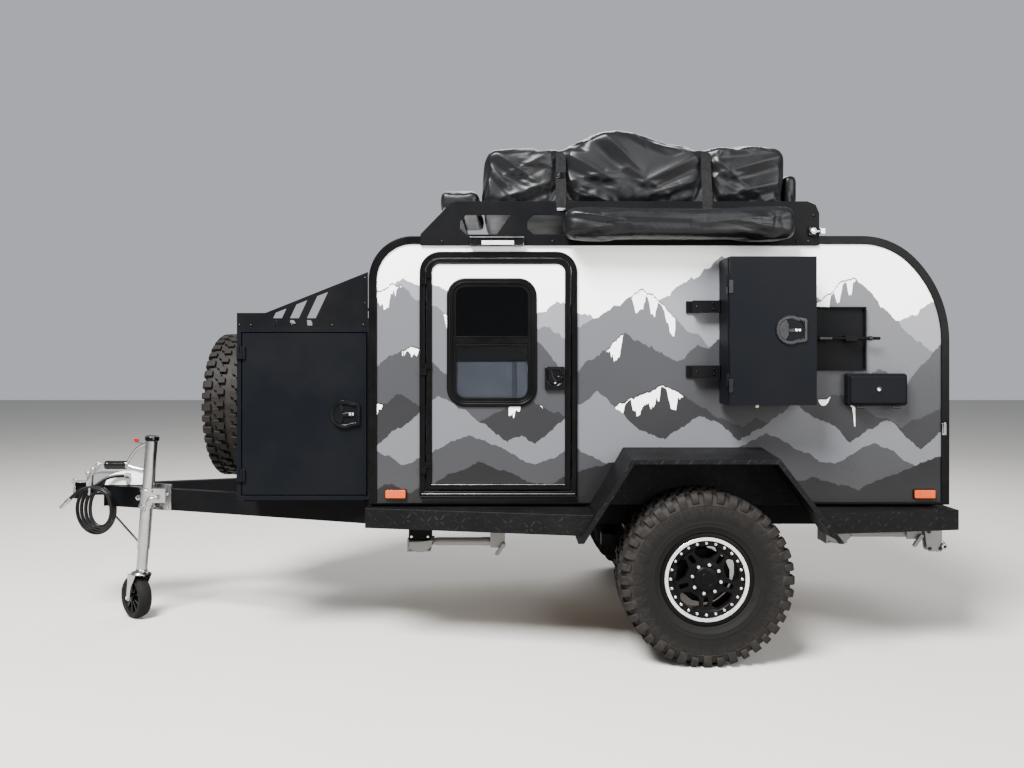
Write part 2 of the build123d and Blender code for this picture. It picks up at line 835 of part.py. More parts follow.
def suspension():
    """Trailing arm, hub with its brake, stub axle, air spring, damper and hanger of the left wheel."""
    x, z = axle_x, tyre_diameter / 2
    arm, inner_y = trailing_arm()
    hub_y = -wheel_centre_y + rim_hub_back + brake_gap
    arm += bar((x, inner_y, z), (x, hub_y, z), 68)
    arm += bar((x, hub_y + brake_depth, z), (x, hub_y, z), brake_radius, 14)
    arm += bar((x, hub_y, z), (x, hub_y - brake_gap - 34, z), stub_radius)
    spring_x, spring_y = x - spring_ahead, -rail_outer_y + rail_width / 2
    seat_z = z + 44
    arm += block(spring_x - 60, spring_x + 60, inner_y - 10, spring_y + 60, seat_z - 20, seat_z)
    fold = (rail_low - seat_z) / 4
    for k in range(4):
        radii = (spring_waist, spring_radius) if k % 2 == 0 else (spring_radius, spring_waist)
        ends = [Pos(spring_x, spring_y, seat_z + (k + n) * fold) * RegularPolygon(radii[n], 8) for n in (0, 1)]
        arm += loft(ends, ruled=True)
    damper_y = -rail_outer_y - damper_gap
    foot, head = (x + 20, damper_y, z + 10), (x + 20 + damper_lean, damper_y, rail_low + 40)
    arm += bar(foot, head, damper_radius)
    arm += bar((foot[0], inner_y - 10, foot[2]), (foot[0], damper_y + damper_radius, foot[2]), pin_radius, 6)
    arm += bar(head, (head[0], -rail_outer_y, head[2]), pin_radius, 6)
    hanger = outline((arm_pivot_x - 64, rail_low), (arm_pivot_x + 76, rail_low), (arm_pivot_x + 40, arm_pivot_z - 40),
                     (arm_pivot_x - 40, arm_pivot_z - 40))
    for y0 in (-rail_outer_y + rail_width - hanger_thickness - 2, -pivot_inner_y - 50):
        arm += along_y(hanger, y0, y0 + hanger_thickness)
    return arm


def doorway():
    """Side view of the opening for the cabin door."""
    return panel_rect(door_left_x, door_right_x, door_bottom, door_top, door_radius, door_frame_width)


def side_panel():
    """Flat side of the cabin with its doorway."""
    side = along_y(body_face(), -body_half_width, -body_half_width + panel)
    return side - along_y(doorway(), -body_half_width - 1, -body_half_width + panel + 1)


def body_floor():
    """Floor board between the side panels, set in from the rear hatch."""
    inner = body_half_width - panel
    return block(body_front + panel, body_rear - panel - seam, -inner, inner, chassis_top, chassis_top + floor_thickness)


def body_skin():
    """Front wall and roof as one bent panel between the sides."""
    inner = body_half_width - panel
    shell = along_y(body_face(), -inner, inner) - along_y(body_face(panel, chassis_top - 1), -inner - 1, inner + 1)
    return largest(shell & block(body_front - 1, hatch_seam_x, -inner, inner, chassis_top, body_top + 1))


def rear_hatch():
    """Curved lift-up galley hatch with its hinge barrels on the roof seam."""
    inner = body_half_width - panel - seam
    ring = body_face() - body_face(panel, chassis_top - 1)
    shell = along_y(ring, -inner, inner)
    hatch = largest(shell & block(hatch_seam_x + seam, body_rear + 1, -inner, inner, chassis_top + seam, body_top + 1))
    pin_x, pin_z, half, strap = hatch_seam_x + seam / 2, body_top + 8, 28, 60
    for y in (-body_half_width * 0.6, 0.0, body_half_width * 0.6):
        turn = bar if y else rod
        barrel = turn((pin_x, y - half, pin_z), (pin_x, y + half, pin_z), 8)
        hatch += barrel + block(hatch_seam_x + seam, hatch_seam_x + strap, y - half, y + half, body_top - 6, body_top + 5)
        hatch += block(pin_x, hatch_seam_x + seam, y - half, y + half, body_top + 0.5, body_top + 5)
    return hatch


def galley():
    """Bulkhead with a worktop, a shelf and a divider behind it."""
    inner = body_half_width - panel
    low = chassis_top + floor_thickness
    unit = block(bulkhead_x, bulkhead_x + board, -inner, inner, low, body_top - panel)
    for rise, reach in ((shelf_height, shelf_depth), (worktop_height, worktop_depth)):
        z = chassis_top + rise
        unit += block(bulkhead_x, bulkhead_x + reach, -inner, inner, z, z + board)
    return unit + block(bulkhead_x, bulkhead_x + shelf_depth, -board / 2, board / 2, low, chassis_top + shelf_height)


def mattress():
    """Mattress on the cabin floor."""
    inner = body_half_width - panel - mattress_gap
    low = chassis_top + floor_thickness
    pad = block(body_front + panel + mattress_gap, bulkhead_x - mattress_gap, -inner, inner, low, low + mattress_height)
    return chamfer(pad.edges().filter_by(Axis.Z), mattress_corner)


def edge_trims():
    """Black moulding round the outline of each side, cut away for the fender."""
    ring = body_face(-trim_lap) - body_face(trim_width, chassis_top + sill_band)
    trim = along_y(ring, -body_half_width - trim_proud, -body_half_width)
    trim -= fender_prism(-1, body_half_width - 2, fender_outer_y)
    smallest = trim_width * trim_proud
    return [twin for piece in trim.solids() if piece.volume > smallest for twin in both_sides(piece)]


def door_axis():
    """Hinge line of the left cabin door in plan."""
    return door_left_x + door_frame_width + seam - 3, -(body_half_width + door_frame_proud + door_hinge[1] + 1)


def door_frame():
    """Fixed moulding round the doorway with the fixed hinge barrels."""
    face = panel_rect(door_left_x, door_right_x, door_bottom, door_top, door_radius)
    frame = along_y(face - doorway(), -body_half_width - door_frame_proud, -body_half_width)
    x, y = door_axis()
    height, _, reach = door_hinge
    for drop in door_hinge_drops:
        z = door_top - drop - height / 2
        frame += low_barrel(x, y, z, door_hinge) + block(x - reach, x - 2, y - 5, y + hinge_plate, z, z + height / 2)
    return frame


def door_leaf():
    """Cabin door leaf with its window opening, latch and moving hinge barrels."""
    leaf = panel_rect(door_left_x, door_right_x, door_bottom, door_top, door_radius, door_frame_width + seam)
    opening = panel_rect(window_left_x, window_right_x, window_bottom, window_top, window_radius, window_rebate)
    outer = -body_half_width - door_frame_proud + door_leaf_inset
    door = along_y(leaf - opening, outer, outer + door_leaf_thickness)
    latch_right, latch_top = door_right_x - latch_rear_gap, door_top - latch_drop
    plate = (latch_right - latch_width, latch_right, latch_top - latch_height, latch_top)
    door += along_y(outline(*[(plate[a], plate[b]) for a, b in ((0, 2), (1, 2), (1, 3), (0, 3))]), outer - latch_proud, outer)
    door -= block(plate[0] + latch_rim, plate[1] - latch_rim, outer - latch_proud - 1, outer + 1,
                  plate[2] + latch_rim, plate[3] - latch_rim)
    x, y = door_axis()
    height, _, reach = door_hinge
    for drop in door_hinge_drops:
        z = door_top - drop - height / 2
        door += high_barrel(x, y, z, door_hinge, drop == max(door_hinge_drops))
        door += block(x + 2, x + reach, y - 5, outer + 1, z + height / 2 + hinge_slack, z + height)
    return door


def window():
    """Window of a cabin door: frame, cross bar and pane."""
    outer = -body_half_width - door_frame_proud + door_leaf_inset
    def rect(inset):
        return panel_rect(window_left_x, window_right_x, window_bottom, window_top, window_radius, inset)
    glass_back = outer + 4 + glass_thickness
    unit = along_y(rect(0), outer - window_frame_proud, outer) + along_y(rect(window_rebate), outer, glass_back)
    unit -= along_y(rect(window_frame), outer - window_frame_proud - 1, outer + 4)
    bar_z = window_top - window_bar_drop
    return unit + block(window_left_x + window_frame - 1, window_right_x - window_frame + 1, outer - 6, outer + 6,
                        bar_z - window_bar_height / 2, bar_z + window_bar_height / 2)


def tongue_axis():
    """Hinge line of the left tongue-box door in plan."""
    return box_front + box_door_inset + seam - 3, -(box_half_width + box_hinge_out)


def tongue_box():
    """Hollow box on the drawbar, open on both sides behind its doors."""
    inner = box_half_width - box_frame_depth
    recess = box_half_width - box_door_thickness - seam
    shell = block(box_front, box_rear, -box_half_width, box_half_width, box_bottom, box_top)
    shell -= block(box_front + box_wall, box_rear - box_wall, -inner, inner, box_bottom + box_wall, box_top - box_wall)
    for side in (-1, 1):
        shell -= block(box_front + box_door_inset, box_rear - box_door_rear_inset, side * recess,
                       side * (box_half_width + 1), box_bottom + box_door_inset, box_top - box_door_inset)
    edge = box_door_inset + seam + box_frame_width
    shell -= block(box_front + edge, box_rear - edge, -box_half_width - 1, box_half_width + 1,
                   box_bottom + edge, box_top - edge)
    x, y = tongue_axis()
    height, _, reach = box_hinge
    for lift in box_hinge_lifts:
        z = box_bottom + lift
        piece = low_barrel(x, y, z, box_hinge)
        piece += block(x - reach + 4, x - 1, y, y + box_hinge_out + 4, z, z + height / 2)
        shell += piece
        shell += other_side(piece)
    return shell


def tongue_door():
    """Left door of the tongue box with its ring latch and moving hinge barrels."""
    gap = box_door_inset + seam
    outer = -box_half_width - box_door_proud
    door = block(box_front + gap, box_rear - box_door_rear_inset - seam, outer, outer + box_door_thickness,
                 box_bottom + gap, box_top - gap)
    latch_x, latch_z = box_rear - box_latch_gap, box_bottom + box_latch_lift
    door += bar((latch_x, outer, latch_z), (latch_x, outer - ring_latch_proud, latch_z), ring_latch_radius, 16)
    x, y = tongue_axis()
    height, _, reach = box_hinge
    for lift in box_hinge_lifts:
        z = box_bottom + lift
        door += high_barrel(x, y, z, box_hinge, lift == min(box_hinge_lifts))
        door += block(x + 1, x + reach, y - 2, outer + 1, z + height / 2 + hinge_slack, z + height)
    return door


def wing_slots():
    """Slanted slots of a wing plate and the small openings under them, in side view."""
    slope = (wing_high_height - wing_height) / (box_rear - box_front - wing_step)
    low = box_top + wing_slot_lift
    openings = []
    for k in range(wing_slot_count):
        x0 = box_front + wing_slot_first + k * wing_slot_pitch
        corners = [(x0, low), (x0 + wing_slot_width, low)]
        for x in (x0 + wing_slot_width, x0):
            at_low = box_top + wing_height - wing_slot_margin + slope * (x - box_front - wing_step)
            rise = (at_low - low) / (1 - slope * wing_slot_lean)
            corners.append((x + rise * wing_slot_lean, low + rise))
        openings.append(outline(*corners))
        z0 = box_top + wing_gap_low
        openings.append(outline((x0 + 4, z0), (x0 + wing_gap_width, z0), (x0 + wing_gap_width, z0 + wing_gap_height - 12),
                                (x0 + wing_gap_width - 8, z0 + wing_gap_height), (x0, z0 + wing_gap_height)))
    return openings


def wing_plates():
    """Two slotted plates over the tongue box, joined by a low front lip."""
    step_x, top, high = box_front + wing_step, box_top + wing_height, box_top + wing_high_height
    face = outline((box_front, box_top), (box_rear, box_top), (box_rear, high), (step_x, top), (box_front, top))
    for opening in wing_slots():
        face -= opening
    plate = along_y(face, -box_half_width, -box_half_width + wing_thickness)
    lip = block(box_front, box_front + wing_thickness, -box_half_width, box_half_width, box_top, top)
    foot = block(box_front, box_rear, -box_half_width, -box_half_width + 30, box_top, box_top + wing_thickness)
    return plate + foot + other_side(plate + foot) + lip


def spare_centre():
    """Centre of the spare wheel in x."""
    return box_front - spare_gap - tyre_width / 2


def spare(shape):
    """Wheel part turned to face forward and hung in front of the tongue box."""
    return Pos(spare_centre(), 0, spare_z) * Rot(0, 0, -90) * shape


def spare_carrier():
    """Tube and plate that carry the spare wheel on the box's front wall."""
    mount_x = spare_centre() + rim_hub_back
    half = carrier_plate / 2
    carrier = block(box_front - 6, box_front, -half, half, spare_z - half, spare_z + half)
    carrier += bar((box_front, 0, spare_z), (mount_x, 0, spare_z), carrier_radius, 10)
    return carrier + bar((mount_x, 0, spare_z), (mount_x - 30, 0, spare_z), stub_radius)


def rack_openings():
    """Row of openings in the rack's side plate, in side view."""
    low = rack_bottom + rack_window_lift
    high, cut = low + rack_window_height, rack_window_cut
    openings = []
    for k in range(rack_window_count):
        x0 = rack_front_x + rack_window_first + k * rack_window_pitch
        x1 = x0 + rack_window_length
        openings.append(outline((x0 + cut, low), (x1 - rack_window_slant, low), (x1, high), (x0 + cut, high),
                                (x0, high - cut), (x0, low + cut)))
    return openings


def rack_plate():
    """Left side plate of the roof rack with its row of openings and a top flange."""
    shoulder_x, corner = rack_front_x + rack_shoulder, rack_corner
    face = outline((rack_front_x, rack_bottom), (rack_rear_x, rack_bottom), (rack_rear_x, rack_top - corner),
                   (rack_rear_x - 0.3 * corner, rack_top - 0.3 * corner), (rack_rear_x - corner, rack_top),
                   (shoulder_x, rack_top), (shoulder_x - 40, rack_top - 26), (rack_front_x, rack_bottom + rack_nose))
    for opening in rack_openings():
        face -= opening
    y0 = -rack_inner_y
    plate = along_y(face, y0 - rack_sheet, y0)
    return plate + block(shoulder_x, rack_rear_x - corner, y0 - rack_sheet, y0 + rack_flange - rack_sheet,
                         rack_top - rack_sheet, rack_top)


def rack_bars():
    """Cross bars that carry the tent, between the two side plates."""
    y = rack_inner_y - running_clearance
    bars = []
    for k in range(rack_window_count + 1):
        x = rack_front_x + rack_window_first - rack_bar_lead + k * rack_window_pitch
        x = min(x, rack_rear_x - rack_corner - rack_bar_width)
        bars.append(block(x, x + rack_bar_width, -y, y, rack_bar_top - rack_bar_height, rack_bar_top))
    return bars


def tent_cover():
    """Folded rooftop tent in its cover, with the hump over its frame."""
    low = rack_bar_top
    ridge = [(tent_front_x + share * tent_length, tent_top + rise * tent_hump) for share, rise in tent_outline]
    face = outline((tent_front_x, low), (tent_rear_x, low), (tent_rear_x, tent_top), *ridge,
                   (tent_front_x, tent_top - tent_edge / 2))
    cover = along_y(face, -tent_half_width, tent_half_width)
    return chamfer(cover.faces().sort_by(Axis.Z)[-1].edges(), tent_edge)


def bags():
    """Awning bag on the rack's left plate and the two small bags beside the tent."""
    y0 = -rack_inner_y - rack_sheet
    x0, z0 = rack_front_x + awning_front_gap, rack_bottom + awning_lift
    awning = block(x0, x0 + awning_length, y0 - awning_depth, y0, z0, z0 + awning_height)
    pieces = [chamfer(awning.edges().filter_by(Axis.X), awning_edge)]
    length, y_low, y_high, height = front_bag
    front_x = tent_front_x - bag_gap
    front = block(front_x - length, front_x, y_low, y_high, rack_bar_top, rack_bar_top + height)
    length, y_low, y_high, height = rear_bag
    rear_x = tent_rear_x + bag_gap
    rear = block(rear_x, rear_x + length, y_low, y_high, rack_bar_top, rack_bar_top + height)
    return pieces + [chamfer(bag.edges(), bag_edge) for bag in (front, rear)]


def side_box_mounts():
    """Hinge blocks on the cabin wall, the backing tray and its latch rod."""
    wall, half = -body_half_width, side_arm_height / 2
    pieces = []
    for z in side_arm_z:
        mount = block(side_pivot_x - 40, side_pivot_x + 26, wall - side_barrel_radius, wall, z - half, z + half)
        mount += low_barrel(side_pivot_x, -side_pivot_y, z - half, arm_hinge)
        mount += block(side_pivot_x - side_barrel_radius, side_pivot_x + side_barrel_radius,
                       -side_pivot_y, wall - side_barrel_radius + 1, z - half, z)
        pieces.append(mount)
    tray_top = tray_bottom + tray_height
    tray = block(side_box_right_x - tray_lap, tray_right_x, wall - tray_depth, wall, tray_bottom, tray_top)
    tray -= block(side_box_right_x - tray_lap + tray_sheet, tray_right_x - tray_sheet, wall - tray_depth - 1,
                  wall - tray_sheet / 2, tray_bottom + tray_sheet, tray_top - tray_sheet)
    rod_y, rod_z = wall - latch_rod_out, tray_bottom + latch_rod_lift
    tray += block(tray_right_x - 120, tray_right_x - 60, rod_y - 12, wall - 3, rod_z - 14, rod_z + 14)
    tray += bar((side_box_right_x + 12, rod_y, rod_z), (tray_right_x + latch_rod_reach, rod_y, rod_z), latch_rod_radius)
    return pieces + [tray]


def side_box():
    """Hollow kitchen box with the two swing arms that carry it."""
    wall, y0, y1 = side_box_wall, -side_box_front_y, -side_box_back_y
    shell = block(side_box_left_x, side_box_right_x, y0, y1, side_box_bottom, side_box_top)
    shell -= block(side_box_left_x + wall, side_box_right_x - wall, y0 - 1, y1 - wall,
                   side_box_bottom + wall, side_box_top - wall)
    half, sheet = side_arm_height / 2, side_arm_sheet / 2
    for z in side_arm_z:
        shell += high_barrel(side_pivot_x, -side_pivot_y, z - half, arm_hinge, z == min(side_arm_z))
        shell += block(side_pivot_x + 6, side_box_left_x + 2, -side_pivot_y - sheet, -side_pivot_y + sheet,
                       z + hinge_slack, z + half)
        shell += block(side_pivot_x + side_arm_height, side_box_left_x + 2, -side_pivot_y - sheet,
                       -side_pivot_y + sheet, z - half, z + half)
    x, y = side_door_axis()
    height, _, _ = lid_hinge
    for lift in side_hinge_lifts:
        z = side_box_bottom + lift
        shell += low_barrel(x, y, z, lid_hinge) + block(x - 3, x + 7, y, y0 + 4, z, z + height / 2)
    return shell


def side_door_axis():
    """Hinge line of the kitchen-box door in plan."""
    return side_box_left_x - 5, -(side_box_front_y + seam + side_door_thickness / 2)


def side_box_door():
    """Lid of the kitchen box with its ring latch."""
    outer = -side_box_front_y - seam - side_door_thickness
    door = block(side_box_left_x + 4, side_box_right_x, outer, outer + side_door_thickness, side_box_bottom, side_box_top)
    latch_x, latch_z = side_box_right_x - side_latch_gap, side_box_bottom + side_latch_lift
    door += bar((latch_x, outer, latch_z), (latch_x, outer - ring_latch_proud, latch_z), ring_latch_radius, 16)
    x, y = side_door_axis()
    height, radius, reach = lid_hinge
    for lift in side_hinge_lifts:
        z = side_box_bottom + lift
        door -= block(x - radius - 2, x + radius + 5, y - radius - 2, y + side_door_thickness, z - 2, z + height + 2)
        door += high_barrel(x, y, z, lid_hinge, lift == min(side_hinge_lifts))
        door += block(x, x + reach, y - radius, y + 5, z + height / 2 + hinge_slack, z + height)
    return door


def inlet_housing():
    """Housing of the power inlet on the cabin wall."""
    wall = -body_half_width
    housing = block(inlet_left_x, inlet_right_x, wall - inlet_housing_depth, wall, inlet_bottom, inlet_top)
    return housing - block(inlet_left_x + inlet_rim, inlet_right_x - inlet_rim, wall - inlet_housing_depth - 1,
                           wall - seam, inlet_bottom + inlet_rim, inlet_top - inlet_rim)


def inlet_lid():
    """Bevelled lid of the power inlet, hinged along its lower edge."""
    inner = -body_half_width - inlet_housing_depth - seam
    outer = inner - inlet_lid_depth
    lid = block(inlet_left_x, inlet_right_x, outer, inner, inlet_bottom, inlet_top)
    lid = chamfer(lid.faces().sort_by(Axis.Y)[0].edges(), inlet_rim)
    lock_x, lock_z = (inlet_left_x + inlet_right_x) / 2, (inlet_bottom + inlet_top) / 2
    lid += bar((lock_x, outer, lock_z), (lock_x, outer - 6, lock_z), inlet_lock_radius)
    hinge_z = inlet_bottom - 8
    for x, turn in ((inlet_left_x + 60, rod), (inlet_right_x - 60, bar)):
        lid += turn((x - 20, inner, hinge_z), (x + 20, inner, hinge_z), 6)
        lid += block(x - 20, x + 20, inner - 6, inner, hinge_z, inlet_bottom + 4)
    return lid


def lamps():
    """Amber side markers, red tail lamps and the work lamp by the left door."""
    wall, low = -body_half_width, chassis_top + marker_lift
    pieces = []
    for x in (body_front + marker_front_gap, body_rear - marker_rear_gap - marker_width):
        pieces += both_sides(block(x, x + marker_width, wall - marker_depth, wall, low, low + marker_height))
    back, edge = chassis_rear + bumper_depth, tail_lamp_edge - rail_outer_y
    low = rail_low + tail_lamp_lift
    pieces += both_sides(block(back, back + tail_lamp_depth, edge, edge + tail_lamp_width, low, low + tail_lamp_height))
    x, z, y = rack_front_x + work_lamp_gap, rack_bottom - work_lamp_drop, -rack_inner_y - rack_sheet
    return pieces + [block(x, x + work_lamp_length, y - work_lamp_depth, y, z, z + work_lamp_height)]


def jack_point(distance):
    """Point on the nose jack's centreline, so far below its top."""
    lean = math.radians(jack_lean)
    return (jack_top[0] - distance * math.sin(lean), jack_top[1], jack_top[2] - distance * math.cos(lean))


def jack_clamp():
    """Clamp collar of the jack, its arm and the plate bolted to the drawbar."""
    start, end = jack_point(clamp_from_top), jack_point(clamp_from_top + clamp_length)
    collar = bar(start, end, jack_outer_radius + clamp_wall, 12) - rod(start, end, jack_outer_radius)
    plate_x = jack_top[0] + clamp_plate_behind
    face_y = drawbar_face_y(plate_x)
    place = Pos(plate_x, face_y, (rail_low + chassis_top) / 2 + 15) * Rot(0, 0, -math.degrees(math.atan(drawbar_slope())))
    plate = place * (Pos(0, -clamp_plate[1] / 2, 0) * Box(*clamp_plate))
    arm_z = chassis_top + 10
    arm = block(jack_top[0] - 9, plate_x + 30, jack_top[1] - 24, face_y + 4, arm_z - clamp_arm_height, arm_z)
    arm -= rod(jack_point(clamp_from_top - 40), jack_point(clamp_from_top + clamp_length + 40), jack_outer_radius + 4)
    arm -= place * (Pos(0, 100, 0) * Box(400, 200, 400))
    return collar + plate + arm


def winding_handle():
    """Bent handle at the jack's top with its grip."""
    route = [(jack_top[0] + x, jack_y, jack_top[2] + z) for x, z in bail_route]
    handle = bent_bar(route, bail_radius)
    grip_x, grip_z = route[-2][0], route[-2][2]
    handle += bar((grip_x + 14, jack_y, grip_z), (grip_x - 8, jack_y, grip_z), grip_radius / 2, 6)
    return handle + bar((grip_x - 1, jack_y, grip_z), (grip_x - 1 - grip_length, jack_y, grip_z), grip_radius, 10)


def jack_tube():
    """Outer tube of the jack with its cap, its winding handle and the stay to the nose."""
    body = rod(jack_point(0), jack_point(jack_outer_length), jack_outer_radius)
    body += bar(jack_point(6 - jack_cap), jack_point(6), jack_outer_radius + 4, 12) + winding_handle()
    x, y, z = jack_point(jack_outer_length - 20)
    stay_x, stay_y, stay_z = drawbar_nose_x + stay_back, -drawbar_nose_y + rail_width / 2, rail_low - stay_drop
    body += bar((x - 20, y + 10, z), (stay_x, stay_y, stay_z), stay_radius, 6)
    body -= bar(jack_point(8), jack_point(jack_outer_length + 50), jack_outer_bore, 12)
    return body + bar((stay_x, stay_y, stay_z - 6), (stay_x, stay_y, rail_low), stay_radius + 2, 6)


def jack_inner():
    """Inner tube of the jack, which the screw winds up and down."""
    start = jack_outer_length + jack_inner_showing - jack_inner_length
    return bar(jack_point(start), jack_point(jack_outer_length + jack_inner_showing), jack_inner_radius, 12)


def caster_centre():
    """Centre of the jack's wheel."""
    foot = jack_point((jack_top[2] - caster_radius) / math.cos(math.radians(jack_lean)))
    turn = math.radians(caster_swivel)
    return foot[0] - caster_trail * math.cos(turn), foot[1] + caster_trail * math.sin(turn), caster_radius


def caster_frame(shape):
    """Piece drawn about the caster's axle (axle along Y) brought to its place."""
    x, y, z = caster_centre()
    return Pos(x, y, z) * Rot(0, 0, -caster_swivel) * shape


def jack_fork():
    """Swivel plate and two fork blades of the jack's wheel, with its axle."""
    top = jack_outer_length + jack_inner_showing
    fork = bar(jack_point(top + 4), jack_point(top + 16), fork_plate_radius, 12)
    fork += rod(jack_point(top + running_clearance), jack_point(top + 5), fork_washer_radius)
    half, sheet = caster_width / 2 + fork_gap, fork_sheet
    crown_z = jack_point(top + 16)[2] - caster_radius
    blade = outline((-26, -16), (16, -16), (24, 30), (62, crown_z + 2), (12, crown_z + 2), (-18, 30))
    pair = along_y(blade, -half - sheet, -half) + along_y(blade, half, half + sheet)
    pair += block(10, 64, -half - sheet, half + sheet, crown_z, crown_z + 8)
    pair += bar((0, -half - 10, 0), (0, half + 10, 0), caster_axle_radius)
    return fork + caster_frame(pair)


def caster():
    """Solid rubber wheel of the jack, dished on both sides."""
    half = caster_width / 2
    wheel = wheel_prism(caster_radius, -half + 24, half - 24, caster_facets)
    for side in (-1, 1):
        wheel += wheel_taper(caster_radius, side * (half - 24), caster_rim_radius + 16, side * half, caster_facets)
        wheel -= wheel_prism(caster_rim_radius, side * (half - caster_recess), side * (half + 1), caster_facets)
        wheel += wheel_prism(caster_hub_radius, side * (half - caster_recess - 1), side * half, 8)
    bore = rod((0, -half - 1, 0), (0, half + 1, 0), caster_axle_radius + running_clearance)
    return caster_frame(wheel - bore)


def leg_pivot(place):
    """Pivot of a stabiliser leg as (x, z)."""
    from_rear, drop = leg_places[place]
    return chassis_rear - from_rear, rail_low - drop


def leg(place):
    """Left stabiliser leg, stowed level under the rail, its foot towards the front."""
    x, z = leg_pivot(place)
    end = x - leg_length + 20
    foot_low = z - 45
    half = leg_collar / 2
    piece = bar((x - half, -leg_y, z), (end, -leg_y, z), leg_tube_radius)
    piece += block(x - half, x + half, half - 6 - leg_y, 6 - half - leg_y, z - half + 6, z + half - 6)
    piece += block(end - 8, end, -leg_y - leg_foot_width / 2, -leg_y + leg_foot_width / 2, foot_low, z + 24)
    piece += block(end, end + leg_foot_length, -leg_y - 45, -leg_y + 45, foot_low, foot_low + 7)
    piece += block(end, end + leg_foot_length, -leg_y - 6, -leg_y + 6, foot_low + 5, z - 10)
    bore = leg_pin_radius + running_clearance
    return piece - rod((x, -leg_y - leg_half_width, z), (x, -leg_y + leg_half_width, z), bore)


def leg_bracket(place):
    """Bracket under the rail for one left leg, with its pivot pin."""
    x, z = leg_pivot(place)
    half = leg_half_width
    bracket = block(x - half - 7, x + half + 7, -leg_y - half, -leg_y + half, rail_low - 6, rail_low)
    for y in (-leg_y - half, -leg_y + half - leg_cheek):
        bracket += block(x - half, x + half, y, y + leg_cheek, z - 26, rail_low)
    return bracket + bar((x, -leg_y - half, z), (x, -leg_y + half, z), leg_pin_radius)


def recovery(with_shackle):
    """Rear recovery plate on the left rail's end, with a shackle if it has one."""
    x, z, y0 = recovery_hole_x, recovery_hole_z, -leg_y - recovery_plate / 2
    face = outline((recovery_front_x, rail_low), (recovery_rear_x - 40, rail_low), (recovery_rear_x, z + 20),
                   (recovery_rear_x, z - 24), (x - 26, z - 30), (recovery_front_x, rail_low - 40))
    plate = along_y(face, y0, y0 + recovery_plate)
    plate += block(recovery_front_x, recovery_rear_x - 60, -leg_y - rail_width / 2, -leg_y + rail_width / 2,
                   rail_low - 6, rail_low)
    if not with_shackle:
        return plate - rod((x, y0 - 1, z), (x, y0 + recovery_plate + 1, z), recovery_hole_radius)
    half, turn = shackle_half_width, shackle_half_width / 2
    pin = bar((x, -leg_y - half - 12, z), (x, -leg_y + half + 12, z), recovery_hole_radius - 1)
    left_leg = [(x, -leg_y - half, z), (x, -leg_y - half, z - shackle_length + turn), (x, -leg_y - turn, z - shackle_length)]
    right_leg = [(x, -2 * leg_y - y, low) for _, y, low in reversed(left_leg)]
    return plate + pin + bent_bar(left_leg + right_leg, shackle_radius)


def cable_coil():
    """Outer shape of the hanging turns of cable."""
    x, y, z = cable_centre
    def ellipse(inset):
        step = 360 / cable_ring_facets
        corners = [polar(1, k * step) for k in range(cable_ring_facets)]
        return outline(*[(x + (cable_half_width - inset) * c, z + (cable_half_height - inset) * s) for c, s in corners])
    ring = ellipse(0) - ellipse(cable_ring_thickness)
    return along_y(ring, y - cable_ring_depth / 2, y + cable_ring_depth / 2)


def cable_run(name, points):
    """Straight runs joined by arcs as large as the runs allow; the radii are printed."""
    runs = [Vector(*b) - Vector(*a) for a, b in zip(points, points[1:])]
    radii = []
    for first, second in zip(runs, runs[1:]):
        turn = math.radians(first.get_angle(second))
        radii.append(0.45 * min(first.length, second.length) / math.tan(turn / 2))
    path = FilletPolyline(*points, radius=radii)
    section = RegularPolygon(cable_radius, cable_facets)
    shape = sweep(Plane(origin=path @ 0, z_dir=path % 0) * section, path=path)
    print(name, "radii", [round(r) for r in radii], "volume share", round(shape.volume / section.area / path.length, 4))
    return shape


def cable_ferrule():
    """Steel end fitting of the cable."""
    start, before = Vector(*cable_tail_points[-1]), Vector(*cable_tail_points[-2])
    end = start + (start - before).normalized() * ferrule_length
    return bar(tuple(start), tuple(end), cable_radius - 2, cable_facets)


def write(name, shape):
    """Save one sub-part, as one solid or as several that don't touch."""
    pieces = shape if isinstance(shape, list) else [shape]
    solids = [solid for piece in pieces for solid in piece.solids()]
    result = solids[0] if len(solids) == 1 else Compound(children=solids)
    export_step(result, f"parts/{name}.step")


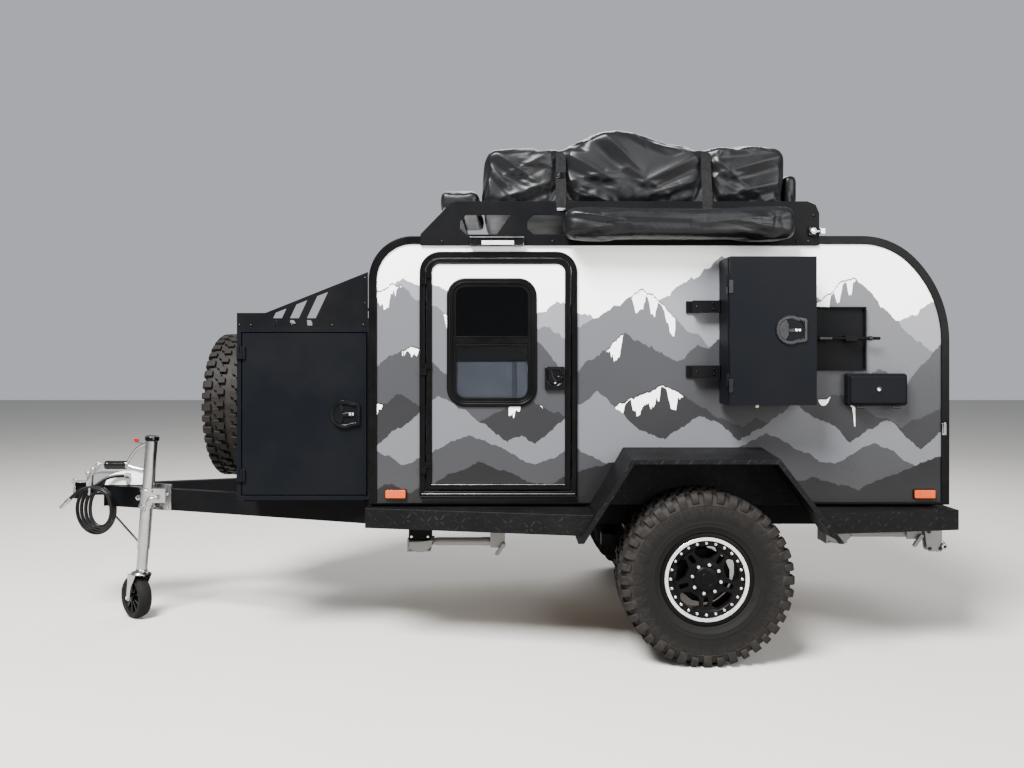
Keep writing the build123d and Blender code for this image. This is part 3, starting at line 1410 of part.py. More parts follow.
def main():
    """Build every sub-part and save it."""
    os.makedirs("parts", exist_ok=True)
    parts = {
        "chassis_rails": chassis_rails(),
        "cross_members": cross_members(),
        "drawbar_rails": drawbar_rails(),
        "coupling": coupling(),
        "coupling_lever": coupling_lever(),
        "side_steps": side_steps(),
        "fenders": both_sides(fender()),
        "suspension": both_sides(suspension()),
        "body_floor": body_floor(),
        "body_skin": body_skin(),
        "galley": galley(),
        "mattress": mattress(),
        "edge_trims": edge_trims(),
        "door_frames": both_sides(door_frame()),
        "tongue_box": tongue_box(),
        "wing_plates": wing_plates(),
        "spare_tyre": spare(tyre()),
        "spare_rim": spare(rim()),
        "spare_carrier": spare_carrier(),
        "rack_plates": both_sides(rack_plate()),
        "rack_bars": rack_bars(),
        "tent_cover": tent_cover(),
        "bags": bags(),
        "side_box_mounts": side_box_mounts(),
        "side_box": side_box(),
        "side_box_door": side_box_door(),
        "inlet_housing": inlet_housing(),
        "inlet_lid": inlet_lid(),
        "lamps": lamps(),
        "rear_hatch": rear_hatch(),
        "jack_clamp": jack_clamp(),
        "jack_tube": jack_tube(),
        "jack_inner": jack_inner(),
        "jack_fork": jack_fork(),
        "jack_wheel": caster(),
        "cable_coil": cable_coil(),
        "cable_lead": cable_run("lead", cable_lead_points),
        "cable_tail": cable_run("tail", cable_tail_points),
        "cable_ferrule": cable_ferrule(),
        "recovery_brackets": [recovery(True), other_side(recovery(False))],
        "leg_brackets": [twin for place in leg_places for twin in both_sides(leg_bracket(place))],
    }
    for place in leg_places:
        parts[f"leg_{place}_left"], parts[f"leg_{place}_right"] = both_sides(leg(place))
    for side in side_names:
        parts[f"tyre_{side}"] = placed_wheel(tyre(), side)
        parts[f"rim_{side}"] = placed_wheel(rim(), side)
    paired = {"body_side": side_panel(), "door": door_leaf(), "window": window(), "tongue_door": tongue_door()}
    for name, shape in paired.items():
        parts[f"{name}_left"], parts[f"{name}_right"] = both_sides(shape)
    for name, shape in parts.items():
        write(name, shape)


main()
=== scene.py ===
"""Dresses the off-road teardrop camper trailer: finishes, fine parts, cloth, cable, lights and camera.

Lengths are in metres. +X runs to the rear, -Y is the left side, +Z is up. Pieces of a left and right pair are
modelled on the left and mirrored.
"""

import json
import logging
import math
from dataclasses import dataclass
from enum import Enum
from typing import Callable, Iterable, Sequence

import bmesh
import bpy
from mathutils import Matrix, Vector
from mathutils.bvhtree import BVHTree

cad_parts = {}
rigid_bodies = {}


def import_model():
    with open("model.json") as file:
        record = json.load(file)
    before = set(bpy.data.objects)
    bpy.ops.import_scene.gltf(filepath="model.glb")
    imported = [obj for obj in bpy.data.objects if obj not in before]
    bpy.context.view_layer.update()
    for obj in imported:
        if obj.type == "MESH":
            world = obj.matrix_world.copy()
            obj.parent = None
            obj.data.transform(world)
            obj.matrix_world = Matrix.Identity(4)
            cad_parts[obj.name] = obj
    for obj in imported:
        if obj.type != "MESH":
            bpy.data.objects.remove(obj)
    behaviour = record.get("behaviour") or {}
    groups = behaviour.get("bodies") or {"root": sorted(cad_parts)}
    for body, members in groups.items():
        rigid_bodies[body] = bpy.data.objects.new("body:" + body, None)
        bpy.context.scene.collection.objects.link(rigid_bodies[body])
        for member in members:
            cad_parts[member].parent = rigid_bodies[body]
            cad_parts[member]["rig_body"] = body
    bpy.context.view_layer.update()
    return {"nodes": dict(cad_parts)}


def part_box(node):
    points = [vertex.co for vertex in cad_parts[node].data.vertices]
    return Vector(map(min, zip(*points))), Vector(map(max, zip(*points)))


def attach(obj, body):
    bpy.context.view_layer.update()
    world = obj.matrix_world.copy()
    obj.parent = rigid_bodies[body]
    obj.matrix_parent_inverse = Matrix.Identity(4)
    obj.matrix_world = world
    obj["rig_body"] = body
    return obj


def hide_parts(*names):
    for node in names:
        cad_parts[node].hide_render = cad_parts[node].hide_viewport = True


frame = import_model()
log = logging.getLogger("trailer")

Colour = tuple[float, float, float]
Point = Sequence[float]
Piece = bpy.types.Object
Socket = bpy.types.NodeSocket

ACROSS = Matrix.Scale(-1, 4, (0, 1, 0))
ROAD_DUST: Colour = (0.3, 0.21, 0.15)


class Side(Enum):
    """Side of the trailer, with its sign of y."""

    LEFT = -1
    RIGHT = 1

    @property
    def word(self) -> str:
        """Name of the side as the CAD nodes write it."""
        return self.name.lower()


def select_only(*pieces: Piece) -> None:
    """Select these pieces alone, with the first one active."""
    bpy.ops.object.select_all(action="DESELECT")
    for piece in pieces:
        piece.select_set(True)
    bpy.context.view_layer.objects.active = pieces[0] if pieces else None


def link(name: str, data: bpy.types.ID) -> Piece:
    """Put new data into the scene as an object."""
    piece = bpy.data.objects.new(name, data)
    bpy.context.collection.objects.link(piece)
    return piece


def settle(piece: Piece, name: str) -> Piece:
    """Name a new piece and move its place into its mesh."""
    piece.name = name
    select_only(piece)
    bpy.ops.object.transform_apply(location=True, rotation=True, scale=True)
    return piece


def arc(x: float, z: float, radius: float, turns: Iterable[int]) -> list[tuple[float, float]]:
    """Give points round a centre at these turns in degrees."""
    return [(x + radius * math.cos(math.radians(a)), z + radius * math.sin(math.radians(a))) for a in turns]


def mm(*values: float, at: Point = (0, 0)) -> list[tuple[float, float]]:
    """Give the points that flat pairs of millimetres say, set off from a point in metres."""
    return [(at[0] + a / 1000, at[1] + b / 1000) for a, b in zip(values[::2], values[1::2])]


def add_box(name: str, low: Point, high: Point) -> Piece:
    """Add a box between two corners."""
    select_only()
    bpy.ops.mesh.primitive_cube_add(size=1, location=[(a + b) / 2 for a, b in zip(low, high)])
    bpy.context.object.scale = [b - a for a, b in zip(low, high)]
    return settle(bpy.context.object, name)


def add_round(name: str, start: Point, end: Point, radius: float, tip: float | None = None,
              sides: int = 32) -> Piece:
    """Add a round bar, or a cone where its tip has another radius.

    Args:
        name: Name of the piece.
        start: Centre of the first end.
        end: Centre of the last end.
        radius: Radius at the start.
        tip: Radius at the end, or None for the same.
        sides: Number of sides.

    Returns:
        The new piece.
    """
    a, b = Vector(start), Vector(end)
    select_only()
    bpy.ops.mesh.primitive_cone_add(
        vertices=sides, radius1=radius, radius2=radius if tip is None else tip, depth=(b - a).length,
        location=(a + b) / 2, rotation=(b - a).to_track_quat("Z", "Y").to_euler())
    return settle(bpy.context.object, name)


def add_plate(name: str, corners: Sequence[Point], near: float, far: float, ring: float = 0.0) -> Piece:
    """Add a flat plate or ring whose outline is drawn in x and z.

    Args:
        name: Name of the piece.
        corners: Corners of the outline as (x, z).
        near: y of the face that looks to the left.
        far: y of the face behind it.
        ring: Width of the ring, or 0 for a full plate.

    Returns:
        The new piece.
    """
    select_only()
    bpy.ops.mesh.primitive_circle_add(vertices=len(corners), fill_type="NGON", radius=1)
    piece = bpy.context.object
    for vertex, (x, z) in zip(piece.data.vertices, corners):
        vertex.co = (x, near, z)
    bpy.ops.object.mode_set(mode="EDIT")
    bpy.ops.mesh.select_all(action="SELECT")
    if ring:
        bpy.ops.mesh.inset(thickness=ring)
        bpy.ops.mesh.delete(type="FACE")
        bpy.ops.mesh.select_all(action="SELECT")
    bpy.ops.mesh.extrude_region_move(TRANSFORM_OT_translate={"value": (0, far - near, 0)})
    bpy.ops.mesh.select_all(action="SELECT")
    bpy.ops.mesh.normals_make_consistent(inside=False)
    object_mode()
    return settle(piece, name)


def add_spun(name: str, profile: Sequence[Point], centre: Point = (0, 0, 0), steps: int = 64,
             axis: Point = (0, 1, 0)) -> Piece:
    """Add a turned piece from its half section.

    Args:
        name: Name of the piece.
        profile: Points of the section as (radius, place along the axis).
        centre: Point on the axis.
        steps: Steps in the whole turn.
        axis: Axis of the turn, along Y or Z or any other direction.

    Returns:
        The new piece.
    """
    select_only()
    bpy.ops.mesh.primitive_circle_add(vertices=len(profile), radius=1)
    piece = bpy.context.object
    way = Vector(axis).normalized()
    across = way.orthogonal().normalized()
    for vertex, (radius, along) in zip(piece.data.vertices, profile):
        vertex.co = Vector(centre) + way * along + across * radius
    bpy.ops.object.mode_set(mode="EDIT")
    closing = {0, len(profile) - 1}
    cage = bmesh.from_edit_mesh(piece.data)
    for edge in [e for e in cage.edges if {v.index for v in e.verts} == closing]:
        cage.edges.remove(edge)
    bmesh.update_edit_mesh(piece.data)
    bpy.ops.mesh.select_all(action="SELECT")
    bpy.ops.mesh.spin(steps=steps, angle=math.tau, center=centre, axis=way)
    bpy.ops.mesh.select_all(action="SELECT")
    bpy.ops.mesh.remove_doubles(threshold=1e-5)
    bpy.ops.mesh.normals_make_consistent(inside=False)
    object_mode()
    return settle(piece, name)


def add_curve(name: str, points: Sequence[Point], smooth: bool = True, **settings: object) -> Piece:
    """Add a curve along points.

    Args:
        name: Name of the piece.
        points: Points of the route.
        smooth: Whether the route is a smooth curve or straight runs.
        settings: Settings of the curve's data.

    Returns:
        The new curve.
    """
    data = bpy.data.curves.new(name, "CURVE")
    data.dimensions = "3D"
    for setting, value in settings.items():
        setattr(data, setting, value)
    spline = data.splines.new("NURBS" if smooth else "POLY")
    spline.points.add(len(points) - 1)
    for place, point in zip(spline.points, points):
        place.co = (*point, 1)
    if smooth:
        spline.order_u = 3
        spline.use_endpoint_u = True
    return link(name, data)


def add_tube(name: str, points: Sequence[Point], radius: float, rounds: int = 4,
             smooth: bool = True) -> Piece:
    """Add a round tube along points and make it a mesh.

    Args:
        name: Name of the piece.
        points: Points of the route.
        radius: Radius of the tube.
        rounds: Roundness of its section.
        smooth: Whether the route is a smooth curve or straight runs.

    Returns:
        The new piece.
    """
    select_only(add_curve(name, points, smooth, bevel_depth=radius, bevel_resolution=rounds,
                          use_fill_caps=True, resolution_u=8))
    bpy.ops.object.convert(target="MESH")
    return settle(bpy.context.object, name)


def pick(piece: Piece, kind: str, test: Callable[[bmesh.types.BMFace | bmesh.types.BMEdge], bool]) -> None:
    """Enter edit mode with the faces or edges that pass a test selected.

    Args:
        piece: Piece to edit.
        kind: FACE or EDGE.
        test: Says whether one face or edge is taken.
    """
    select_only(piece)
    bpy.ops.object.mode_set(mode="EDIT")
    bpy.ops.mesh.select_mode(type=kind)
    bpy.ops.mesh.select_all(action="DESELECT")
    cage = bmesh.from_edit_mesh(piece.data)
    for item in cage.faces if kind == "FACE" else cage.edges:
        if test(item):
            item.select_set(True)
    cage.select_flush_mode()
    bmesh.update_edit_mesh(piece.data)


def object_mode() -> None:
    """Leave edit mode."""
    bpy.ops.object.mode_set(mode="OBJECT")


def apply_modifier(piece: Piece, kind: str, **settings: object) -> None:
    """Add a modifier with its settings and apply it."""
    modifier = piece.modifiers.new(kind.lower(), kind)
    for name, value in settings.items():
        setattr(modifier, name, value)
    select_only(piece)
    bpy.ops.object.modifier_apply(modifier=modifier.name)


def face_outwards(piece: Piece) -> None:
    """Turn the normals of a closed piece outwards."""
    pick(piece, "FACE", lambda face: True)
    bpy.ops.mesh.normals_make_consistent(inside=False)
    object_mode()


def bevel(piece: Piece, width: float, segments: int, angle: float = 50.0) -> Piece:
    """Round the edges of a piece that turn by more than an angle."""
    apply_modifier(piece, "BEVEL", width=width, segments=segments, limit_method="ANGLE",
                   angle_limit=math.radians(angle))
    return piece


def soften(piece: Piece, width: float = 0.0015, segments: int = 2, angle: float = 50.0) -> Piece:
    """Smooth the shallow turns of a piece and round its sharper edges.

    Args:
        piece: Piece to finish.
        width: Width of the rounded edges.
        segments: Steps across a rounded edge.
        angle: Turn in degrees past which an edge is sharp.

    Returns:
        The same piece.
    """
    bevel(smooth(piece, angle), width, segments, angle)
    apply_modifier(piece, "WEIGHTED_NORMAL", weight=100, keep_sharp=True, mode="FACE_AREA")
    return piece


def smooth(piece: Piece, angle: float = 40.0) -> Piece:
    """Shade a piece smooth up to an angle."""
    select_only(piece)
    bpy.ops.object.shade_smooth_by_angle(angle=math.radians(angle))
    return piece


def copy_of(piece: Piece, name: str, change: Matrix = Matrix.Identity(4)) -> Piece:
    """Copy a piece with a mesh of its own, moved, turned or mirrored by a matrix."""
    twin = link(name, piece.data.copy())
    twin.data.transform(change)
    if change.determinant() < 0:
        twin.data.flip_normals()
    return twin


def flip_across(piece: Piece) -> None:
    """Mirror a piece to the other side of the trailer."""
    piece.data.transform(ACROSS)
    piece.data.flip_normals()


def join(name: str, pieces: Sequence[Piece]) -> Piece:
    """Join pieces into the first one."""
    select_only(*pieces)
    bpy.ops.object.join()
    pieces[0].name = name
    return pieces[0]


def ring_of(piece: Piece, count: int, centre: Point, axis: Point = (0, 1, 0),
            start: float = 0.0) -> list[Piece]:
    """Copy a piece at even steps round an axis.

    Args:
        piece: First piece, which is one of the ring.
        count: Number of pieces in the ring.
        centre: Point on the axis.
        axis: Axis of the ring.
        start: Extra turn of the whole ring in degrees.

    Returns:
        All pieces of the ring.
    """
    ring = []
    for k in range(count):
        turn = Matrix.Rotation(math.radians(start) + k * math.tau / count, 4, Vector(axis))
        change = Matrix.Translation(centre) @ turn @ Matrix.Translation(-Vector(centre))
        ring.append(copy_of(piece, f"{piece.name}_{k}", change))
    bpy.data.objects.remove(piece)
    return ring


def round_corners(x0: float, x1: float, z0: float, z1: float, radius: float, foot: float | None = None,
                  steps: int = 10) -> list[tuple[float, float]]:
    """Give the outline of a rectangle with round corners.

    Args:
        x0: Left edge.
        x1: Right edge.
        z0: Lower edge.
        z1: Upper edge.
        radius: Radius of the corners.
        foot: Radius of the two lower corners, 0 for sharp ones, or None for the same.
        steps: Steps in each corner.

    Returns:
        Corners of the outline as (x, z).
    """
    low = radius if foot is None else foot
    points = []
    corners = ((x1 - radius, z1 - radius, radius), (x0 + radius, z1 - radius, radius),
               (x0 + low, z0 + low, low), (x1 - low, z0 + low, low))
    for quarter, (x, z, size) in enumerate(corners):
        for k in range(steps + 1 if size else 1):
            angle = math.radians(90 * (quarter + (k / steps if size else 0.5)))
            points.append((x + size * math.cos(angle), z + size * math.sin(angle)))
    return points


def cut(piece: Piece, *tools: Piece) -> Piece:
    """Take the tools' space out of a piece."""
    tool = join("tool", tools)
    apply_modifier(piece, "BOOLEAN", object=tool, operation="DIFFERENCE", solver="EXACT")
    bpy.data.objects.remove(tool)
    return piece


def puff(piece: Piece, voxel: float, pressure: float, shrink: float, cap: float, frames: int,
         held: Callable[[Vector], bool]) -> Piece:
    """Turn a plain shape into filled cloth by a short cloth simulation.

    Args:
        piece: Closed shape to fill.
        voxel: Size of its new faces.
        pressure: Pressure inside.
        shrink: Shrinking of the cloth, below 0 for loose cloth that wrinkles.
        cap: How far a point may move.
        frames: Length of the simulation.
        held: Says whether a point stays where it is.

    Returns:
        The same piece with its cloth shape.
    """
    apply_modifier(piece, "REMESH", mode="VOXEL", voxel_size=voxel, use_smooth_shade=True)
    rest = [vertex.co.copy() for vertex in piece.data.vertices]
    group = piece.vertex_groups.new(name="held")
    group.add([k for k, co in enumerate(rest) if held(co)], 1.0, "REPLACE")
    cloth = piece.modifiers.new("cloth", "CLOTH")
    values = {"quality": 5, "mass": 0.3, "tension_stiffness": 18, "compression_stiffness": 12,
              "shear_stiffness": 8, "bending_stiffness": 0.35, "use_pressure": pressure > 0,
              "uniform_pressure_force": pressure, "shrink_min": shrink, "vertex_group_mass": "held"}
    for name, value in values.items():
        setattr(cloth.settings, name, value)
    cloth.settings.effector_weights.gravity = 0
    cloth.collision_settings.use_collision = False
    cloth.point_cache.frame_end = frames
    for step in range(1, frames + 1):
        bpy.context.scene.frame_set(step)
    select_only(piece)
    bpy.ops.object.modifier_apply(modifier="cloth")
    bpy.context.scene.frame_set(1)
    piece.vertex_groups.clear()
    for vertex, co in zip(piece.data.vertices, rest):
        way = vertex.co - co
        if way.length > cap:
            vertex.co = co + way * (cap / way.length)
    apply_modifier(piece, "SUBSURF", levels=1, render_levels=1)
    bpy.ops.object.shade_smooth()
    return piece


def press_folds(piece: Piece, folds: Sequence[Sequence[float]], reach: float, middle: float) -> None:
    """Raise long folds on both long sides of a cloth piece, each with a hollow under it.

    Args:
        piece: Cloth piece.
        folds: Each fold as x, z of its start, x, z of its end, its height and its breadth.
        reach: Distance from the middle plane past which a point lies on a long side.
        middle: Place along X about which the far side's folds are turned.
    """
    for vertex in piece.data.vertices:
        side = 1 if vertex.co.y > 0 else -1
        share = min(1.0, max(0.0, (abs(vertex.co.y) - reach) / 0.05))
        if share == 0:
            continue
        x = vertex.co.x if side < 0 else 2 * middle - vertex.co.x
        pushes = [0.0]
        for x0, z0, x1, z1, height, breadth in folds:
            long_way = math.hypot(x1 - x0, z1 - z0)
            ux, uz = (x1 - x0) / long_way, (z1 - z0) / long_way
            along = ((x - x0) * ux + (vertex.co.z - z0) * uz) / long_way
            if not 0 < along < 1:
                continue
            off = (x - x0) * uz - (vertex.co.z - z0) * ux
            off = off if ux > 0 else -off
            fade = math.sin(math.pi * along) ** 0.7
            ridge = math.exp(-abs(off) / breadth)
            hollow = 0.8 * math.exp(-((off - 2.0 * breadth) / breadth) ** 2)
            pushes.append(fade * height * (ridge - hollow))
        vertex.co.y += side * share * (max(pushes) + min(pushes))


class NodeSheet:
    """Material under work, with short ways to add and join its shader nodes."""

    def __init__(self, name: str) -> None:
        """Start a material with an empty principled shader."""
        self.material = bpy.data.materials.new(name)
        self.material.use_nodes = True
        self.tree = self.material.node_tree
        self.shader = self.tree.nodes["Principled BSDF"]

    def node(self, kind: str, **settings: object) -> bpy.types.Node:
        """Add a shader node with its settings."""
        node = self.tree.nodes.new(f"ShaderNode{kind}")
        for name, value in settings.items():
            setattr(node, name, value)
        return node

    def feed(self, socket: Socket, value: object) -> None:
        """Join a socket to another, or set its value."""
        if isinstance(value, bpy.types.NodeSocket):
            self.tree.links.new(value, socket)
        elif isinstance(value, tuple) and len(value) == 3 and socket.type == "RGBA":
            socket.default_value = (*value, 1)
        else:
            socket.default_value = value

    def shade(self, **values: object) -> None:
        """Feed the shader's sockets, with spaces in their names written as underscores."""
        for name, value in values.items():
            self.feed(self.shader.inputs[name.replace("_", " ")], value)

    def place(self, centre: Point = (0, 0, 0), turn: Point = (0, 0, 0), scale: Point = (1, 1, 1)) -> Socket:
        """Give object coordinates about a centre, turned and scaled."""
        mapping = self.node("Mapping", vector_type="TEXTURE")
        self.feed(mapping.inputs["Vector"], self.node("TexCoord").outputs["Object"])
        mapping.inputs["Location"].default_value = centre
        mapping.inputs["Rotation"].default_value = turn
        mapping.inputs["Scale"].default_value = scale
        return mapping.outputs["Vector"]

    def axes(self, where: Socket) -> tuple[Socket, Socket, Socket]:
        """Split a place into x, y and z."""
        split = self.node("SeparateXYZ")
        self.feed(split.inputs[0], where)
        return split.outputs[0], split.outputs[1], split.outputs[2]

    def math(self, work: str, a: object, b: object = 0.0) -> Socket:
        """Add a math node."""
        node = self.node("Math", operation=work)
        self.feed(node.inputs[0], a)
        self.feed(node.inputs[1], b)
        return node.outputs[0]

    def noise(self, where: Socket, scale: float, detail: float = 4.0, rough: float = 0.5,
              lines: int = 3) -> Socket:
        """Add a noise of one or three dimensions."""
        node = self.node("TexNoise", noise_dimensions=f"{lines}D")
        self.feed(node.inputs["W" if lines == 1 else "Vector"], where)
        node.inputs["Scale"].default_value = scale
        node.inputs["Detail"].default_value = detail
        node.inputs["Roughness"].default_value = rough
        return node.outputs["Fac"]

    def spread(self, value: Socket, low: float, high: float, new_low: float = 0.0,
               new_high: float = 1.0) -> Socket:
        """Map a range of a value to another range, clamped."""
        node = self.node("MapRange")
        self.feed(node.inputs["Value"], value)
        for name, number in (("From Min", low), ("From Max", high), ("To Min", new_low),
                             ("To Max", new_high)):
            node.inputs[name].default_value = number
        return node.outputs["Result"]

    def blend(self, factor: Socket, first: object, second: object) -> Socket:
        """Mix two colours."""
        node = self.node("Mix", data_type="RGBA")
        for index, value in ((0, factor), (6, first), (7, second)):
            self.feed(node.inputs[index], value)
        return node.outputs[2]

    def bump(self, height: Socket, strength: float, depth: float, under: Socket | None = None) -> Socket:
        """Add a bump, on top of another one if it is given."""
        node = self.node("Bump")
        self.feed(node.inputs["Height"], height)
        node.inputs["Strength"].default_value = strength
        node.inputs["Distance"].default_value = depth
        if under is not None:
            self.feed(node.inputs["Normal"], under)
        return node.outputs["Normal"]

    def weave(self, where: Socket, pitch: float) -> Socket:
        """Give the height of a plain weave with the given pitch."""
        x, y, z = self.axes(where)
        warp = self.math("SINE", self.math("MULTIPLY", x, math.tau / pitch))
        weft = self.math("SINE", self.math("MULTIPLY", self.math("ADD", y, z), math.tau / pitch))
        return self.math("MULTIPLY", warp, weft)


@dataclass(frozen=True)
class Finish:
    """Finish with a name and its slot in the record."""

    name: str
    slot: str

    def material(self) -> bpy.types.Material:
        """Give the finish's material, painted the first time it is asked for."""
        known = bpy.data.materials.get(self.name)
        if known is None:
            sheet = NodeSheet(self.name)
            self.paint(sheet)
            known = sheet.material
        return known

    def paint(self, sheet: NodeSheet) -> None:
        """Paint the finish; each kind has its own way."""
        raise NotImplementedError


@dataclass(frozen=True)
class PowderCoat(Finish):
    """Satin powder coat with a fine orange peel, dust and a few light scuffs."""

    colour: Colour = (0.0024, 0.0026, 0.0031)
    roughness: float = 0.42
    dust: float = 0.006

    def paint(self, sheet: NodeSheet) -> None:
        """Paint the coat."""
        where = sheet.place()
        cloud = sheet.noise(where, 3.5, 7, 0.6)
        scuff = sheet.spread(sheet.noise(sheet.place(scale=(1, 1, 0.3)), 34, 9, 0.75), 0.66, 0.74, 0, 0.35)
        dusty = sheet.math("MULTIPLY", sheet.spread(cloud, 0.42, 0.72), self.dust)
        base = sheet.blend(dusty, self.colour, ROAD_DUST)
        sheet.shade(
            Base_Color=sheet.blend(sheet.math("MULTIPLY", scuff, self.dust), base, (0.25, 0.26, 0.27)),
            Roughness=sheet.spread(cloud, 0.3, 0.7, self.roughness - 0.05, self.roughness + 0.08),
            Specular_IOR_Level=0.035,
            Normal=sheet.bump(sheet.noise(where, 700, 2), 0.12, 0.0006),
        )


@dataclass(frozen=True)
class TreadPlate(Finish):
    """Black raised-bar plate with worn bars and dust between them."""

    pitch: float = 0.034

    def bars(self, sheet: NodeSheet) -> Socket:
        """Give the height of short bars that lie crosswise in turn."""
        x, y, z = sheet.axes(sheet.place())
        along = sheet.math("DIVIDE", x, self.pitch)
        across = sheet.math("DIVIDE", sheet.math("ADD", y, z), self.pitch)
        a = sheet.math("SUBTRACT", sheet.math("FRACT", along), 0.5)
        b = sheet.math("SUBTRACT", sheet.math("FRACT", across), 0.5)
        cells = sheet.math("ADD", sheet.math("FLOOR", along), sheet.math("FLOOR", across))
        odd = sheet.math("PINGPONG", cells, 1.0)
        plus, minus = sheet.math("ADD", a, b), sheet.math("SUBTRACT", a, b)
        swap = sheet.math("MULTIPLY", sheet.math("SUBTRACT", minus, plus), odd)
        long_way = sheet.math("DIVIDE", sheet.math("ADD", plus, swap), 0.66)
        short_way = sheet.math("DIVIDE", sheet.math("SUBTRACT", minus, swap), 0.19)
        reach = sheet.math("ADD", sheet.math("POWER", long_way, 2.0), sheet.math("POWER", short_way, 2.0))
        return sheet.spread(reach, 0.75, 1.1, 1.0, 0.0)

    def paint(self, sheet: NodeSheet) -> None:
        """Paint the plate."""
        where = sheet.place()
        height = self.bars(sheet)
        cloud = sheet.noise(where, 5, 8, 0.65)
        patches = sheet.spread(sheet.noise(where, 14, 8, 0.7), 0.5, 0.68, 0, 0.55)
        worn = sheet.math("MULTIPLY", height, patches)
        dusty = sheet.blend(sheet.spread(cloud, 0.45, 0.8, 0.0, 0.007), (0.0022, 0.0023, 0.0026), ROAD_DUST)
        sheet.shade(
            Base_Color=sheet.blend(worn, dusty, (0.02, 0.02, 0.021)),
            Roughness=sheet.spread(cloud, 0.3, 0.7, 0.36, 0.58),
            Specular_IOR_Level=0.07,
            Normal=sheet.bump(height, 0.75, 0.0016, sheet.bump(sheet.noise(where, 300, 4), 0.25, 0.0006)),
        )


@dataclass(frozen=True)
class Galvanised(Finish):
    """Bright zinc with faint spangles and dull streaks."""

    colour: Colour = (0.36, 0.36, 0.36)
    roughness: float = 0.2

    def paint(self, sheet: NodeSheet) -> None:
        """Paint the zinc."""
        where = sheet.place()
        cells = sheet.node("TexVoronoi")
        sheet.feed(cells.inputs["Vector"], where)
        cells.inputs["Scale"].default_value = 95.0
        spangle = sheet.axes(cells.outputs["Color"])[0]
        cloud = sheet.noise(where, 9, 7, 0.6)
        dull = tuple(0.75 * value for value in self.colour)
        tone = sheet.blend(sheet.spread(cloud, 0.35, 0.75), self.colour, dull)
        sheet.shade(
            Base_Color=sheet.blend(sheet.math("MULTIPLY", spangle, 0.18), tone, (0.6, 0.6, 0.61)),
            Metallic=1.0,
            Roughness=sheet.spread(cloud, 0.3, 0.7, self.roughness - 0.04, self.roughness + 0.08),
            Normal=sheet.bump(sheet.noise(where, 260, 4), 0.15, 0.0006),
        )


@dataclass(frozen=True)
class RidgePrint(Finish):
    """White skin printed with layered grey mountain ridges, darkest at the foot."""

    white: Colour = (0.8, 0.8, 0.79)

    def ridge(self, sheet: NodeSheet, x: Socket, foot: float, rise: float, pitch: float,
              seed: float) -> Socket:
        """Give the height of one ragged skyline.

        Args:
            sheet: Material under work.
            x: Place along the trailer.
            foot: Height of the lowest saddles.
            rise: How far the tallest peaks stand over them.
            pitch: Mean distance between peaks.
            seed: Shift that makes each skyline its own.

        Returns:
            Height of the skyline at x.
        """
        along = sheet.math("ADD", x, seed)
        cells = sheet.node("TexVoronoi", voronoi_dimensions="1D")
        sheet.feed(cells.inputs["W"], along)
        cells.inputs["Scale"].default_value = 1 / pitch
        slope = sheet.math("MULTIPLY", cells.outputs["Distance"], rise * 1.5)
        broad = sheet.math("MULTIPLY", sheet.noise(along, 0.8 / pitch, 1, 0.4, 1), rise * 0.9)
        ragged = sheet.math("MULTIPLY", sheet.noise(along, 9.0, 7, 0.62, 1), rise * 0.42)
        return sheet.math("ADD", sheet.math("ADD", slope, broad),
                          sheet.math("ADD", ragged, foot - rise * 0.55))

    def paint(self, sheet: NodeSheet) -> None:
        """Paint the ridges from the farthest to the nearest."""
        where = sheet.place()
        x, _, z = sheet.axes(where)
        colour: object = self.white
        layers = (
            (1.6, 0.26, 0.8, 0.3, 0.135, False), (1.53, 0.25, 0.56, 7.7, 0.068, True),
            (1.37, 0.24, 0.46, 13.1, 0.026, True), (1.12, 0.18, 0.6, 21.4, 0.013, True),
            (1.03, 0.19, 0.42, 29.6, 0.078, False), (0.91, 0.16, 0.5, 37.2, 0.024, False),
            (0.8, 0.14, 0.55, 43.9, 0.007, False),
        )
        for foot, rise, pitch, seed, tone, snowy in layers:
            top = self.ridge(sheet, x, foot, rise, pitch, seed)
            here = sheet.math("LESS_THAN", z, top)
            grey = (tone, tone * 1.01, tone * 1.1)
            colour = sheet.blend(here, colour, grey)
            if snowy:
                jag = sheet.noise(sheet.math("ADD", x, seed), 17.0, 3, 0.5, 1)
                patch = sheet.noise(sheet.math("ADD", x, seed * 2), 2.6, 1, 0.5, 1)
                share = sheet.spread(patch, 0.5, 0.56)
                depth = sheet.math("MULTIPLY", sheet.spread(jag, 0.34, 0.62, 0.012, 0.105), share)
                low = sheet.math("SUBTRACT", top, depth)
                high = sheet.math("GREATER_THAN", top, foot + rise * 0.62)
                under = sheet.math("LESS_THAN", z, sheet.math("SUBTRACT", top, 0.008))
                over = sheet.math("MULTIPLY", sheet.math("GREATER_THAN", z, low), under)
                colour = sheet.blend(sheet.math("MULTIPLY", over, high), colour, self.white)
        cloud = sheet.noise(where, 4, 6, 0.6)
        low_dust = sheet.math("MULTIPLY", sheet.spread(z, 0.74, 0.9, 0.02, 0.0), cloud)
        sheet.shade(
            Base_Color=sheet.blend(low_dust, colour, ROAD_DUST),
            Roughness=sheet.spread(cloud, 0.3, 0.7, 0.26, 0.36),
            Specular_IOR_Level=0.14,
            Coat_Weight=0.03,
            Coat_Roughness=0.1,
            Normal=sheet.bump(sheet.noise(where, 40, 2), 0.06, 0.0012),
        )


